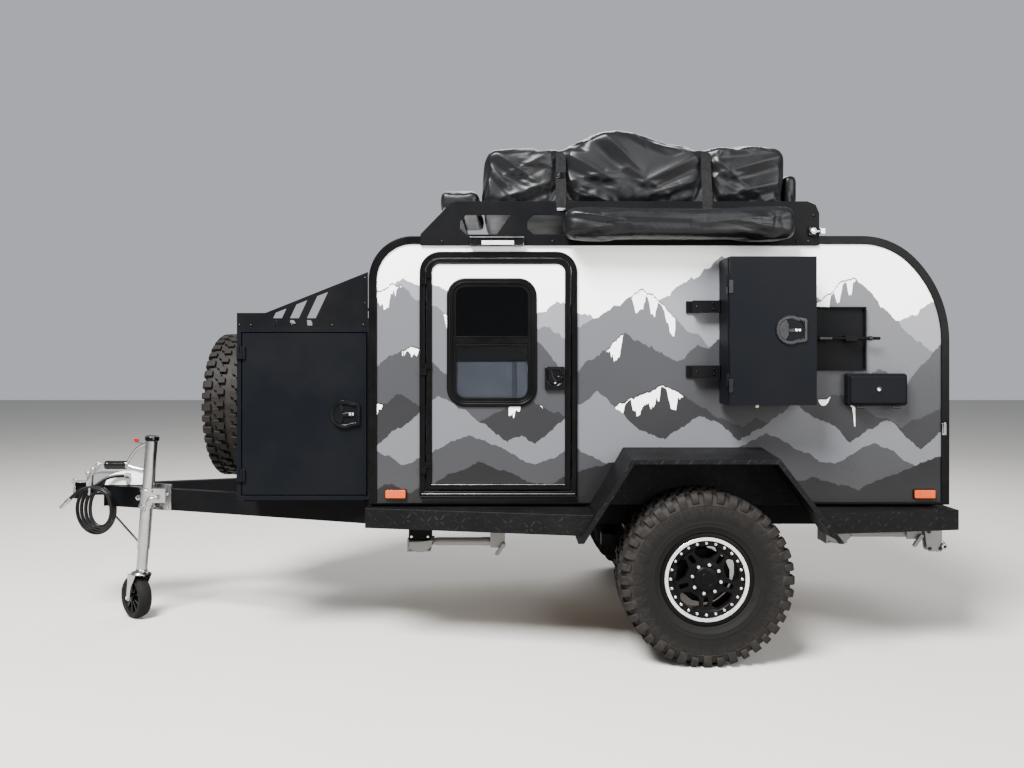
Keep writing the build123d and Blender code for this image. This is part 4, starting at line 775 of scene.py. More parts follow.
@dataclass(frozen=True)
class WhitePanel(Finish):
    """Plain white composite skin, a little dusty."""

    colour: Colour = (0.78, 0.78, 0.77)

    def paint(self, sheet: NodeSheet) -> None:
        """Paint the skin."""
        where = sheet.place()
        cloud = sheet.noise(where, 2.5, 8, 0.65)
        sheet.shade(
            Base_Color=sheet.blend(sheet.spread(cloud, 0.45, 0.8, 0.0, 0.16), self.colour, ROAD_DUST),
            Roughness=sheet.spread(cloud, 0.3, 0.7, 0.25, 0.42),
            Normal=sheet.bump(sheet.noise(where, 160, 3), 0.08, 0.0006),
        )


@dataclass(frozen=True)
class CoatedCloth(Finish):
    """Glossy coated cloth with creases and a fine weave under the coat."""

    colour: Colour = (0.003, 0.0032, 0.0037)
    roughness: float = 0.32
    crease: float = 0.18

    def paint(self, sheet: NodeSheet) -> None:
        """Paint the cloth."""
        where = sheet.place(turn=(0.0, 0.5, 0.3), scale=(1.0, 1.0, 0.45))
        folds = sheet.node("TexNoise")
        sheet.feed(folds.inputs["Vector"], where)
        for name, value in (("Scale", 4.2), ("Detail", 5.0), ("Roughness", 0.55), ("Distortion", 1.1)):
            folds.inputs[name].default_value = value
        ridged = sheet.math("ABSOLUTE", sheet.math("SUBTRACT", folds.outputs["Fac"], 0.5))
        soft = sheet.noise(sheet.place(), 5, 3, 0.5)
        flat = sheet.bump(sheet.weave(sheet.place(), 0.0016), 0.1, 0.0003)
        sheet.shade(
            Base_Color=sheet.blend(sheet.spread(soft, 0.5, 0.85, 0.0, 0.004), self.colour, ROAD_DUST),
            Roughness=sheet.spread(soft, 0.3, 0.7, self.roughness - 0.05, self.roughness + 0.1),
            Specular_IOR_Level=0.17,
            Normal=sheet.bump(ridged, self.crease, 0.012, flat),
        )


@dataclass(frozen=True)
class Webbing(Finish):
    """Ribbed strap webbing."""

    pitch: float = 0.004

    def paint(self, sheet: NodeSheet) -> None:
        """Paint the ribs."""
        where = sheet.place()
        x, y, z = sheet.axes(where)
        ribs = sheet.math("SINE", sheet.math("MULTIPLY", x, math.tau / self.pitch))
        threads = sheet.math("SINE", sheet.math("MULTIPLY", sheet.math("ADD", y, z), math.tau / 0.0018))
        sheet.shade(
            Base_Color=sheet.blend(sheet.spread(sheet.noise(where, 60, 4), 0.4, 0.8),
                                   (0.0035, 0.0035, 0.0038), (0.008, 0.008, 0.008)),
            Roughness=0.62,
            Specular_IOR_Level=0.08,
            Normal=sheet.bump(ribs, 0.7, 0.0008, sheet.bump(threads, 0.3, 0.0003)),
        )


@dataclass(frozen=True)
class TyreRubber(Finish):
    """Black rubber with dust where the piece's dust attribute says."""

    colour: Colour = (0.0032, 0.0031, 0.0031)

    def paint(self, sheet: NodeSheet) -> None:
        """Paint the rubber."""
        where = sheet.place()
        cloud = sheet.noise(where, 22, 8, 0.7)
        marked = sheet.node("Attribute", attribute_name="dust").outputs["Fac"]
        amount = sheet.math("MULTIPLY", marked, sheet.spread(cloud, 0.32, 0.68, 0.25, 1.0))
        sheet.shade(
            Base_Color=sheet.blend(amount, self.colour, (0.0175, 0.015, 0.013)),
            Roughness=sheet.spread(cloud, 0.3, 0.7, 0.5, 0.75),
            Specular_IOR_Level=0.08,
            Normal=sheet.bump(sheet.noise(where, 420, 4), 0.2, 0.0006),
        )


@dataclass(frozen=True)
class MachinedAlloy(Finish):
    """Bright machined metal."""

    colour: Colour = (0.78, 0.78, 0.79)
    roughness: float = 0.2

    def paint(self, sheet: NodeSheet) -> None:
        """Paint the metal."""
        cloud = sheet.noise(sheet.place(), 40, 6, 0.6)
        sheet.shade(
            Base_Color=sheet.blend(sheet.spread(cloud, 0.45, 0.8), self.colour,
                                   tuple(0.6 * v for v in self.colour)),
            Metallic=1.0,
            Roughness=sheet.spread(cloud, 0.3, 0.7, self.roughness - 0.05, self.roughness + 0.12),
            Normal=sheet.bump(sheet.noise(sheet.place(), 600, 2), 0.08, 0.0004),
        )


@dataclass(frozen=True)
class Moulding(Finish):
    """Moulded plastic or rubber with a fine grain."""

    colour: Colour = (0.0014, 0.0014, 0.0016)
    roughness: float = 0.33
    grain: float = 500.0
    specular: float = 0.06

    def paint(self, sheet: NodeSheet) -> None:
        """Paint the moulding."""
        where = sheet.place()
        cloud = sheet.noise(where, 11, 6, 0.6)
        dusty = sheet.spread(cloud, 0.5, 0.85, 0.0, 0.004)
        sheet.shade(
            Base_Color=sheet.blend(dusty, self.colour, ROAD_DUST),
            Roughness=sheet.spread(cloud, 0.3, 0.7, self.roughness - 0.05, self.roughness + 0.1),
            Specular_IOR_Level=self.specular,
            Normal=sheet.bump(sheet.noise(where, self.grain, 3), 0.12, 0.0005),
        )


@dataclass(frozen=True)
class Lens(Finish):
    """Clear coloured lamp lens with fine ribs."""

    colour: Colour = (0.62, 0.075, 0.0005)
    rib: float = 0.006
    glow: float = 0.0

    def paint(self, sheet: NodeSheet) -> None:
        """Paint the lens."""
        where = sheet.place()
        x, y, _ = sheet.axes(where)
        ribs = sheet.math("SINE", sheet.math("MULTIPLY", sheet.math("ADD", x, y), math.tau / self.rib))
        sheet.shade(
            Base_Color=sheet.blend(sheet.noise(where, 30, 3), self.colour,
                                   tuple(0.7 * v for v in self.colour)),
            Roughness=0.14,
            IOR=1.49,
            Transmission_Weight=0.35,
            Emission_Color=(*self.colour, 1),
            Emission_Strength=self.glow,
            Normal=sheet.bump(ribs, 0.5, 0.0012),
        )


@dataclass(frozen=True)
class TintedGlass(Finish):
    """Dark tinted window pane."""

    colour: Colour = (0.022, 0.023, 0.026)

    def paint(self, sheet: NodeSheet) -> None:
        """Paint the pane with a faint haze of dust."""
        cloud = sheet.noise(sheet.place(), 6, 5)
        haze = tuple(0.8 * value for value in self.colour)
        sheet.shade(
            Base_Color=sheet.blend(sheet.spread(cloud, 0.4, 0.8), self.colour, haze),
            Roughness=0.02,
            IOR=1.3,
            Transmission_Weight=1.0,
        )


@dataclass(frozen=True)
class BirchPly(Finish):
    """Pale lacquered plywood with long grain."""

    def paint(self, sheet: NodeSheet) -> None:
        """Paint the wood."""
        grain = sheet.noise(sheet.place(scale=(1, 0.06, 0.6)), 60, 6, 0.65)
        sheet.shade(
            Base_Color=sheet.blend(sheet.spread(grain, 0.3, 0.7), (0.6, 0.44, 0.27), (0.42, 0.28, 0.15)),
            Roughness=0.4,
            Normal=sheet.bump(grain, 0.1, 0.0006),
        )


@dataclass(frozen=True)
class BedCloth(Finish):
    """Woven mattress cover."""

    colour: Colour = (0.2, 0.205, 0.215)

    def paint(self, sheet: NodeSheet) -> None:
        """Paint the cloth."""
        where = sheet.place()
        cloud = sheet.noise(where, 18, 6)
        sheet.shade(
            Base_Color=sheet.blend(cloud, self.colour, tuple(0.6 * v for v in self.colour)),
            Roughness=0.9,
            Sheen_Weight=0.3,
            Normal=sheet.bump(sheet.weave(where, 0.002), 0.5, 0.0005),
        )


BLACK_STEEL = PowderCoat("black_powder_coat", "black_steel")
BOX_COAT = PowderCoat("blue_black_coat", "box_alloy", (0.0027, 0.0032, 0.0042), 0.38, 0.004)
WHEEL_BLACK = PowderCoat("wheel_black", "wheel_alloy", (0.0022, 0.0022, 0.0024), 0.34, 0.01)
TREAD = TreadPlate("worn_tread_plate", "tread_plate")
ZINC = Galvanised("bright_zinc", "galvanised")
DULL_ZINC = Galvanised("dull_zinc", "galvanised", (0.26, 0.26, 0.26), 0.36)
RIDGES = RidgePrint("ridge_print", "body_panel")
DOOR_RIDGES = RidgePrint("door_ridge_print", "door_skin")
ROOF = WhitePanel("roof_skin", "roof_panel")
TRIM = Moulding("black_moulding", "black_trim")
COVER_CLOTH = CoatedCloth("coated_cover", "tent_fabric")
AWNING_CLOTH = CoatedCloth("awning_cover", "tent_fabric", crease=0.4)
STRAP = Webbing("strap_webbing", "tent_fabric")
RUBBER = TyreRubber("tyre_rubber_dusty", "tyre_rubber")
BRIGHT = MachinedAlloy("machined_lip", "wheel_alloy")
BOLT = MachinedAlloy("bolt_zinc", "galvanised", (0.62, 0.62, 0.61), 0.3)
AMBER = Lens("amber_lens", "lamp_lens")
RED = Lens("red_lens", "lamp_lens", (0.6, 0.012, 0.01))
CLEAR = Lens("clear_lens", "lamp_lens", (0.85, 0.87, 0.9), 0.004, 0.25)
PANE = TintedGlass("tinted_pane", "window_unit")
PLY = BirchPly("birch_ply_lacquered", "birch_ply")
BEDDING = BedCloth("mattress_cover", "bed_cover")
LATCH = Moulding("latch_black", "black_trim", (0.0012, 0.0013, 0.0016), 0.2, 900.0, 0.22)
BRASS = MachinedAlloy("worn_brass", "galvanised", (0.42, 0.34, 0.24), 0.3)
RED_TAG = Moulding("red_tag", "lamp_lens", (0.16, 0.004, 0.004), 0.4)
PANE_CLEAR = TintedGlass("clear_pane", "window_unit", (0.82, 0.84, 0.88))
# Pale metallic finish for thin strips on dark edges: painted highlights where light catches those edges.
EDGE_HIGHLIGHT = MachinedAlloy("anodised_edge", "black_trim", (0.2, 0.2, 0.21), 0.3)
SILVER = Moulding("silver_enamel", "galvanised", (0.105, 0.1, 0.094), 0.34, 300.0, 0.6)
BLIND = Moulding("grey_blind", "window_unit", (0.046, 0.05, 0.057), 0.75, 2500.0)
BLIND_SEAM = Moulding("blind_seam_grey", "window_unit", (0.02, 0.022, 0.026), 0.75, 2500.0)
CABLE = Moulding("cable_rubber", "cable_jacket", (0.0022, 0.0022, 0.0024), 0.34, 900.0, 0.14)
CASTER = Moulding("caster_rubber_grey", "caster_rubber", (0.0065, 0.0062, 0.006), 0.6, 300.0)
WHITE_STEEL = WhitePanel("white_cover", "galvanised", (0.7, 0.7, 0.69))


def show(piece: Piece, finish: Finish, body: str, *nodes: str) -> Piece:
    """Give a piece its finish and its body, and let it stand for CAD nodes.

    Args:
        piece: Piece to finish.
        finish: Finish of all its faces.
        body: CAD body that carries it.
        nodes: CAD nodes that it stands for.

    Returns:
        The same piece.
    """
    piece.data.materials.clear()
    piece.data.materials.append(finish.material())
    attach(piece, body)
    if nodes:
        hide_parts(*nodes)
    log.info("%s rides on %s", piece.name, body)
    return piece


def show_pair(piece: Piece, finish: Finish, body: str, node: str | None = None) -> tuple[Piece, Piece]:
    """Show a left piece and its mirrored right twin.

    Args:
        piece: Left piece, whose name gets the side added.
        finish: Finish of both.
        body: Body of both, with the word SIDE where it names the side.
        node: CAD node that each stands for, written the same way.

    Returns:
        The left and the right piece.
    """
    name = piece.name
    pair = {Side.RIGHT: copy_of(piece, f"{name}_right", ACROSS), Side.LEFT: piece}
    piece.name = f"{name}_left"
    for side, one in pair.items():
        nodes = [node.replace("SIDE", side.word)] if node else []
        show(one, finish, body.replace("SIDE", side.word), *nodes)
    return pair[Side.LEFT], pair[Side.RIGHT]


def paint_nodes(finish: Finish, *nodes: str) -> None:
    """Give CAD nodes that are shown as they are their finish."""
    for name in nodes:
        mesh = frame["nodes"][name].data
        mesh.materials.clear()
        mesh.materials.append(finish.material())


def merged_copy(node: str) -> Piece:
    """Copy a CAD node with its points merged and its flat faces whole."""
    piece = copy_of(frame["nodes"][node], f"{node}_shown")
    select_only(piece)
    bpy.ops.object.mode_set(mode="EDIT")
    bpy.ops.mesh.select_all(action="SELECT")
    bpy.ops.mesh.remove_doubles(threshold=1e-6)
    bpy.ops.mesh.dissolve_limited(angle_limit=math.radians(0.3))
    object_mode()
    return piece


def dress(finish: Finish, *nodes: str, width: float = 0.0012, angle: float = 35.0) -> None:
    """Stand a merged copy with rounded edges in for each CAD node.

    Args:
        finish: Finish of the copies.
        nodes: CAD nodes.
        width: Width of the rounded edges.
        angle: Turn in degrees past which an edge is sharp.
    """
    for name in nodes:
        piece = soften(merged_copy(name), width, 2, angle)
        show(piece, finish, frame["nodes"][name]["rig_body"], name)


def recolour(piece: Piece, finish: Finish, test: Callable[[Vector], bool]) -> None:
    """Give the faces whose centres pass a test a second finish."""
    piece.data.materials.append(finish.material())
    for polygon in piece.data.polygons:
        if test(polygon.center):
            polygon.material_index = len(piece.data.materials) - 1


def dome_bolts(name: str, places: Sequence[Point], y: float, profile: Sequence[Point]) -> None:
    """Show a pair of rows of dome bolts.

    Args:
        name: Name of the row.
        places: Places of the bolts as (x, z).
        y: Face that they sit on.
        profile: Half section of one bolt.
    """
    heads = [add_spun("head", profile, (x, y, z), 12, (0, -1, 0)) for x, z in places]
    show_pair(smooth(join(name, heads), 60), LATCH, "chassis")


@dataclass
class Studio:
    """Camera at the photograph's place, pale floor and soft lights."""

    eye: Point = (0.155, -5.094, 1.441)
    lens: float = 30.0
    lift: float = -0.0186
    floor_half: float = 30.0

    def build(self) -> None:
        """Make the camera, the floor and the lights."""
        self.camera()
        self.floor()
        self.lights()

    def camera(self) -> None:
        """Add the level camera that looks across the trailer's left side."""
        data = bpy.data.cameras.new("camera")
        data.lens = self.lens
        data.sensor_width = 36.0
        data.shift_y = self.lift
        camera = bpy.data.objects.new("camera", data)
        camera.location = self.eye
        camera.rotation_euler = (math.radians(90), 0, 0)
        bpy.context.collection.objects.link(camera)
        bpy.context.scene.camera = camera

    def floor(self) -> None:
        """Add the pale floor."""
        select_only()
        bpy.ops.mesh.primitive_plane_add(size=2 * self.floor_half, location=(0, 0, 0))
        floor = bpy.context.object
        floor.name = "floor"
        sheet = NodeSheet("pale_floor")
        grain = sheet.noise(sheet.place(), 1.2, 6)
        sheet.shade(Base_Color=sheet.blend(grain, (0.4, 0.385, 0.36), (0.43, 0.415, 0.39)), Roughness=0.85)
        floor.data.materials.append(sheet.material)

    def lights(self) -> None:
        """Add the sky light and the soft lamps."""
        world = bpy.data.worlds.new("sky")
        world.use_nodes = True
        back = world.node_tree.nodes["Background"]
        back.inputs["Color"].default_value = (0.86, 0.9, 0.96, 1)
        back.inputs["Strength"].default_value = 0.55
        bpy.context.scene.world = world
        lamps = (("key", (-2.6, -5.6, 8.2), 3.5, 5600.0), ("fill", (5.0, -7.0, 3.8), 5.0, 900.0),
                 ("back", (1.0, 5.5, 5.5), 5.0, 600.0))
        for name, place, size, power in lamps:
            data = bpy.data.lights.new(name, "AREA")
            data.energy = power
            data.size = size
            lamp = bpy.data.objects.new(name, data)
            lamp.location = place
            way = Vector((0.3, 0.0, 1.0)) - Vector(place)
            lamp.rotation_euler = way.to_track_quat("-Z", "Y").to_euler()
            bpy.context.collection.objects.link(lamp)


@dataclass
class TrailerCable:
    """Cable from the cover's gland through loose hanging turns to its end fitting."""

    radius: float = 0.01
    centre: Point = (-2.267, -0.15, 0.602)
    half_width: float = 0.119
    top: float = 0.133
    bottom: float = 0.15
    turns: int = 4
    turn_points: int = 14
    length: float = 2.95

    def route(self) -> list[tuple[float, float, float]]:
        """Give the control points of the whole cable."""
        lead = [(-2.12, -0.074, 0.79), (-2.17, -0.074, 0.79), (-2.224, -0.1, 0.778)]
        tail = [(-2.286, -0.184, 0.741), (-2.336, -0.199, 0.716), (-2.376, -0.209, 0.674)]
        return lead + self.coil() + tail

    def coil(self) -> list[tuple[float, float, float]]:
        """Give the points of the loose turns, each a little smaller and further out than the one before."""
        x, _, z = self.centre
        points = []
        total = self.turns * self.turn_points
        for k in range(total):
            turn = k / self.turn_points
            angle = math.radians(90) + turn * math.tau
            wide = self.half_width - 0.017 * turn
            low = self.bottom - 0.017 * turn
            sag = self.top - 0.002 * turn if math.sin(angle) > 0 else low
            y = self.centre[1] + 0.026 - 0.0205 * turn
            points.append((x + wide * math.cos(angle) + 0.0185 * turn, y, z + sag * math.sin(angle)))
        return points

    def build(self) -> None:
        """Make the cable and its end fitting."""
        points = self.route()
        cable = add_curve("cable", points, bevel_depth=self.radius, bevel_resolution=5, use_fill_caps=True,
                          resolution_u=10)
        cable.data.materials.append(CABLE.material())
        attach(cable, "chassis")
        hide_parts("cable_coil", "cable_lead", "cable_tail")
        fitting = self.fitting(Vector(points[-1]), Vector(points[-2]))

    def fitting(self, start: Vector, before: Vector) -> Piece:
        """Make the steel end fitting in line with the cable's end."""
        way = (start - before).normalized()
        profile = [(0.0, -0.004), (0.0112, -0.004), (0.0118, 0.0), (0.0118, 0.03), (0.0095, 0.034),
                   (0.0088, 0.036), (0.0088, 0.058), (0.0098, 0.06), (0.0098, 0.068), (0.008, 0.072),
                   (0.0, 0.072)]
        fitting = add_spun("cable_end_fitting", profile, tuple(start), 24, way)
        return show(soften(fitting, 0.0006, 2), ZINC, "chassis", "cable_ferrule")


@dataclass
class RoadWheel:
    """Off-road tyre on a split-spoke rim, built about the Y axis with its face towards -Y."""

    tread: float = 0.417
    groove: float = 0.4005
    sidewall: float = 0.1424
    lugs: int = 40
    rim_half: float = 0.12
    spokes: int = 5
    bolt_ring: float = 0.1715

    def build(self) -> None:
        """Make one wheel and set it in its three places."""
        parts = [(self.carcass(), RUBBER, "tyre"), (self.tread_blocks(), RUBBER, None),
                 (self.barrel(), WHEEL_BLACK, "rim"), (self.spoke_disc(), WHEEL_BLACK, None),
                 (self.lip(), BRIGHT, None), (self.bolts(), BOLT, None), (self.hub(), WHEEL_BLACK, None),
                 (self.lug_nuts(), BOLT, None),]
        for part, _, _ in parts[:2]:
            self.mark_dust(part)
        low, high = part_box("tyre_left")
        spare_low, spare_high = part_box("spare_tyre")
        spare = (spare_low + spare_high) / 2
        left = Matrix.Translation(((low.x + high.x) / 2, (low.y + high.y) / 2, self.tread))
        places = {
            "left": ("wheel_left", left, "tyre_left", "rim_left"),
            "right": ("wheel_right", ACROSS @ left, "tyre_right", "rim_right"),
            "spare": ("chassis", Matrix.Translation(spare) @ Matrix.Rotation(math.radians(-90), 4, "Z"),
                      "spare_tyre", "spare_rim"),
        }
        for word, (body, change, tyre, rim) in places.items():
            stands_for = {"tyre": [tyre], "rim": [rim], None: []}
            for part, finish, kind in parts:
                show(copy_of(part, f"{part.name}_{word}", change), finish, body, *stands_for[kind])
        for part, _, _ in parts:
            bpy.data.objects.remove(part)

    def mark_dust(self, piece: Piece) -> None:
        """Write how dusty each point is: most in the grooves, some on the sidewall's edge."""
        marks = piece.data.attributes.new("dust", "FLOAT", "POINT")
        for vertex, mark in zip(piece.data.vertices, marks.data):
            radius = math.hypot(vertex.co.x, vertex.co.z)
            if radius > 0.412:
                mark.value = 0.55
            elif radius > 0.352:
                mark.value = 0.85
            else:
                mark.value = 0.12 + 0.35 * max(0.0, (radius - 0.29) / 0.06)

    def carcass(self) -> Piece:
        """Turn the tyre's body from bead to bead."""
        half = [(0.2045, 0.08), (0.206, 0.11), (0.2225, 0.1115), (0.226, 0.1205), (0.231, 0.1235),
                (0.2345, 0.124), (0.242, 0.1285), (0.256, 0.1355), (0.258, 0.135), (0.275, 0.1395),
                (0.277, 0.1388), (0.29, 0.141), (0.32, 0.1415), (0.354, 0.1395), (0.355, 0.1412),
                (0.358, 0.1412), (0.359, 0.139), (0.38, 0.1335), (0.393, 0.124),
                (self.groove - 0.001, 0.112), (self.groove, 0.09), (self.groove, 0.0)]
        profile = [(r, -y) for r, y in half] + [(r, y) for r, y in reversed(half[:-1])]
        return smooth(add_spun("tyre_body", profile, steps=96), 30)

    def tread_blocks(self) -> Piece:
        """Make the lugs of one pitch and copy them round the tyre."""
        pitch = math.tau * self.tread / self.lugs
        shapes = [self.shoulder_lug("lug_long", pitch * 0.6, 0.357, 0.0),
                  self.shoulder_lug("lug_short", pitch * 0.5, 0.371, 1.0)]
        shapes += [self.centre_block("block", pitch, -0.046, 0.5), self.sidewall_block("hook", pitch)]
        over = Matrix.Rotation(math.radians(180), 4, "X") @ Matrix.Rotation(math.pi / self.lugs, 4, "Y")
        pieces = []
        for k in range(self.lugs // 2):
            for n, shape in enumerate(shapes):
                steps = (2 * k + 1,) if shape.name == "lug_short" else (2 * k,)
                steps = (2 * k, 2 * k + 1) if n >= 2 else steps
                for step in steps:
                    turn = Matrix.Rotation(step * math.tau / self.lugs, 4, "Y")
                    pieces.append(copy_of(shape, "copy", turn))
                    pieces.append(copy_of(shape, "copy", over @ turn))
        for shape in shapes:
            bpy.data.objects.remove(shape)
        return smooth(join("tyre_tread", pieces), 35)

    def shoulder_lug(self, name: str, width: float, foot: float, lean: float) -> Piece:
        """Make one lug that wraps from the tread onto the sidewall.

        Args:
            name: Name of the piece.
            width: Width along the tread.
            foot: Radius at which the lug ends on the sidewall.
            lean: Slant of its inner end.

        Returns:
            The lug, at the top of the wheel.
        """
        inner, side = -0.086 - 0.004 * lean, -self.sidewall
        outline = [(inner, 0.396), (inner, self.tread), (-0.127, self.tread - 0.001),
                   (-0.1395, 0.403), (side, 0.385), (side, foot), (-0.136, foot - 0.004), (-0.124, 0.38)]
        lug = add_plate(name, outline, -width / 2, width / 2)
        lug.data.transform(Matrix.Rotation(math.radians(-90), 4, "Z"))
        if lug.data.vertices[1].co.y > 0:
            lug.data.transform(ACROSS)
        face_outwards(lug)
        return bevel(lug, 0.0022, 1, 40)

    def centre_block(self, name: str, pitch: float, middle: float, shift: float) -> Piece:
        """Make one hooked block of the tread's middle rows.

        Args:
            name: Name of the piece.
            pitch: Distance from lug to lug along the tread.
            middle: y of the block's middle.
            shift: Share of a pitch that the block is turned.

        Returns:
            The block, at the top of the wheel.
        """
        half, deep = pitch * 0.4, 0.03
        outline = [(-half, middle - deep), (-half * 0.1, middle - deep), (half * 0.3, middle - deep * 0.3),
                   (half, middle - deep * 0.3), (half, middle + deep), (-half * 0.2, middle + deep),
                   (-half * 0.5, middle + deep * 0.2), (-half, middle + deep * 0.2)]
        block = add_plate(name, outline, self.groove - 0.004, self.tread)
        block.data.transform(Matrix(((1, 0, 0, 0), (0, 0, 1, 0), (0, 1, 0, 0), (0, 0, 0, 1))))
        block.data.transform(Matrix.Rotation(shift * math.tau / self.lugs, 4, "Y"))
        face_outwards(block)
        return bevel(block, 0.002, 1, 40)

    def sidewall_block(self, name: str, pitch: float) -> Piece:
        """Make one shallow hooked block on the sidewall, at the top of the wheel."""
        half = pitch * 0.36
        outline = [(-half, 0.35), (-half * 0.7, 0.318), (-half * 0.1, 0.3), (half * 0.5, 0.3),
                   (half * 0.2, 0.318), (half * 0.8, 0.334), (half * 0.9, 0.35)]
        hook = add_plate(name, outline, -self.sidewall, -0.14)
        return bevel(hook, 0.0011, 1, 40)

    def barrel(self) -> Piece:
        """Turn the rim's barrel with its outer and inner flanges."""
        y = self.rim_half
        profile = [(0.203, -0.112), (0.218, -0.1125), (0.2215, -0.115), (0.2215, -0.1185), (0.219, -y),
                   (0.2035, -y), (0.203, -0.1185), (0.189, -0.112), (0.186, -0.101), (0.178, -0.06),
                   (0.176, 0.04), (0.186, 0.085), (0.188, 0.112), (0.203, y), (0.219, y),
                   (0.2215, 0.1185), (0.2215, 0.115), (0.218, 0.1125), (0.203, 0.112), (0.2, 0.08),
                   (0.19, 0.06), (0.188, -0.06), (0.2, -0.085), (0.203, -0.112)]
        return smooth(add_spun("rim_barrel", profile, steps=72), 35)

    def lip(self) -> Piece:
        """Turn the polished lip ring."""
        y = self.rim_half
        profile = [(0.1845, -0.106), (0.1845, -0.1155), (0.186, -0.1175), (0.2015, -y + 0.0006),
                   (0.2032, -y + 0.002), (0.2032, -0.112), (0.1845, -0.106)]
        return smooth(add_spun("rim_lip", profile, steps=80), 35)

    def bolts(self) -> Piece:
        """Make the ring of small bolts on the black clamp ring."""
        z = self.bolt_ring
        head = add_round("ring_bolt", (0, -0.1075, z), (0, -0.115, z), 0.0052, 0.0047, 6)
        washer = add_round("ring_washer", (0, -0.1065, z), (0, -0.1092, z), 0.0068, 0.0064, 16)
        bolt = soften(join("ring_bolt", [head, washer]), 0.0006, 1)
        return join("rim_bolts", ring_of(bolt, 24, (0, 0, 0)))

    def spoke_disc(self) -> Piece:
        """Cut the windows and split-spoke slots out of a dished disc and round their edges."""
        disc = add_spun("rim_spokes", mm(0, -98.5, 80, -100, 150, -99.5, 160.5, -108.5, 183.5, -108.5, 187,
                                         -105, 187, -64, 150, -64, 80, -68, 0, -68), steps=80)
        cutters = []
        for k in range(self.spokes):
            for outline, turn in ((self.window_outline(), 72 * k), (self.slot_outline(), 72 * k + 36)):
                cutter = add_plate("cutter", outline, -0.13, -0.04)
                cutter.data.transform(Matrix.Rotation(math.radians(turn), 4, "Y"))
                cutters.append(cutter)
        cut(disc, *cutters)
        pick(disc, "EDGE", self.is_window_rim)
        bpy.ops.mesh.bevel(offset=0.0045, segments=3, affect="EDGES", clamp_overlap=True)
        object_mode()
        return smooth(disc, 40)

    def is_window_rim(self, edge: bmesh.types.BMEdge) -> bool:
        """Say whether an edge of the disc runs round the face of a window or slot."""
        if len(edge.link_faces) != 2 or edge.calc_face_angle(0.0) < math.radians(50):
            return False
        middle = (edge.verts[0].co + edge.verts[1].co) / 2
        return middle.y < -0.085 and math.hypot(middle.x, middle.z) < 0.1595

    def window_outline(self) -> list[tuple[float, float]]:
        """Give the large window's outline about the +Z direction, with rounded corners."""
        half = mm(6, 94, 22, 94, 30, 99, 52, 118, 56.5, 126, 55, 133, 46, 148, 36, 153.5, 16, 157)
        return half + [(-x, z) for x, z in reversed(half)]

    def slot_outline(self) -> list[tuple[float, float]]:
        """Give the small slot's outline about the +Z direction, with rounded corners."""
        half = mm(5, 89, 8.5, 91.5, 10.5, 96, 13.2, 124, 12.5, 131, 7, 136)
        return half + [(-x, z) for x, z in reversed(half)]

    def hub(self) -> Piece:
        """Turn the hub with its nut ring and the domed cap."""
        profile = mm(0, -117.6, 12, -118, 28.5, -117.2, 30, -116, 31.5, -117.2, 44, -116, 56, -112, 59.5,
                     -108, 60, -102, 79, -102, 84, -100, 86, -95, 86, -40, 0, -40)
        return smooth(add_spun("hub", profile, steps=48), 35)

    def lug_nuts(self) -> Piece:
        """Make the eight wheel nuts round the cap."""
        nut = add_round("wheel_nut", (0, -0.098, 0.0695), (0, -0.1135, 0.0695), 0.0094, 0.008, 6)
        soften(nut, 0.0012, 2)
        return join("wheel_nuts", ring_of(nut, 8, (0, 0, 0), start=11.0))


@dataclass
class RingLatch:
    """Folding ring handle in a round dish, with its pad and lock."""

    centre: Point
    face: float
    body: str
    name: str
    paired: bool = False
    radius: float = 0.0705
    flat: float = 0.079
    width: float = 0.0125
    proud: float = 0.015
    dish: float = 0.003

    def outline(self, inset: float = 0.0) -> list[tuple[float, float]]:
        """Give the ring's outline, round at the front and flat at the rear."""
        x, z = self.centre
        reach, flat = self.radius - inset, self.flat - inset
        points = [(x + reach * math.cos(math.radians(a)), z + reach * math.sin(math.radians(a)))
                  for a in range(60, 301, 8)]
        tall = 0.056 - inset * 0.8
        lower = [(x + flat - 0.012, z - tall), (x + flat - 0.003, z - tall + 0.003),
                 (x + flat, z - tall + 0.011)]
        return points + lower + [(px, 2 * z - pz) for px, pz in reversed(lower)]

    def tool(self) -> Piece:
        """Make the round tool that sinks the dish into the door."""
        x, z = self.centre
        return add_round("dish_tool", (x, self.face - 0.03, z), (x, self.face - self.dish, z),
                         self.radius - 0.004, sides=48)

    def parts(self) -> list[tuple[Piece, Finish]]:
        """Make the ring, its inner step, the pad, the handle bar and the lock."""
        x, z = self.centre
        y = self.face - self.proud
        ring = soften(add_plate("ring", self.outline(), y, self.face, self.width), 0.0045, 4)
        step = soften(add_plate("ring_step", self.outline(0.011), y + 0.006, self.face, 0.006), 0.002, 2)
        pad_points = arc(x - 0.004, z, 0.054, range(106, 255, 8))
        pad = soften(add_plate("ring_pad", pad_points + [(x - 0.008, z - 0.026), (x - 0.008, z + 0.026)],
                               y + 0.0035, self.face), 0.0025, 3)
        pin = soften(add_round("pad_pin", (x - 0.033, y + 0.0015, z), (x - 0.033, y + 0.005, z), 0.0032,
                               sides=16), 0.0006)
        bar = soften(add_plate("ring_bar", mm(-10, 5, -10, -10, 16, -12, 52, -12, 52, 10, 22, 10,
                                              at=(x, z)), y + 0.003, self.face), 0.0025, 3)
        locks = [add_round("lock", (x + dx, y + 0.0008, z - 0.001), (x + dx, y + 0.006, z - 0.001),
                           0.0062, 0.0066, 24) for dx in (0.028, 0.043)]
        lock = soften(join("ring_lock", locks), 0.001)
        return [(ring, LATCH), (step, LATCH), (pad, LATCH), (pin, LATCH), (bar, LATCH), (lock, BOLT)]

    def build(self) -> None:
        """Make the latch and set it on its door."""
        for part, finish in self.parts():
            part.name = f"{self.name}_{part.name}"
            if self.paired:
                show_pair(part, finish, self.body)
            else:
                show(part, finish, self.body)


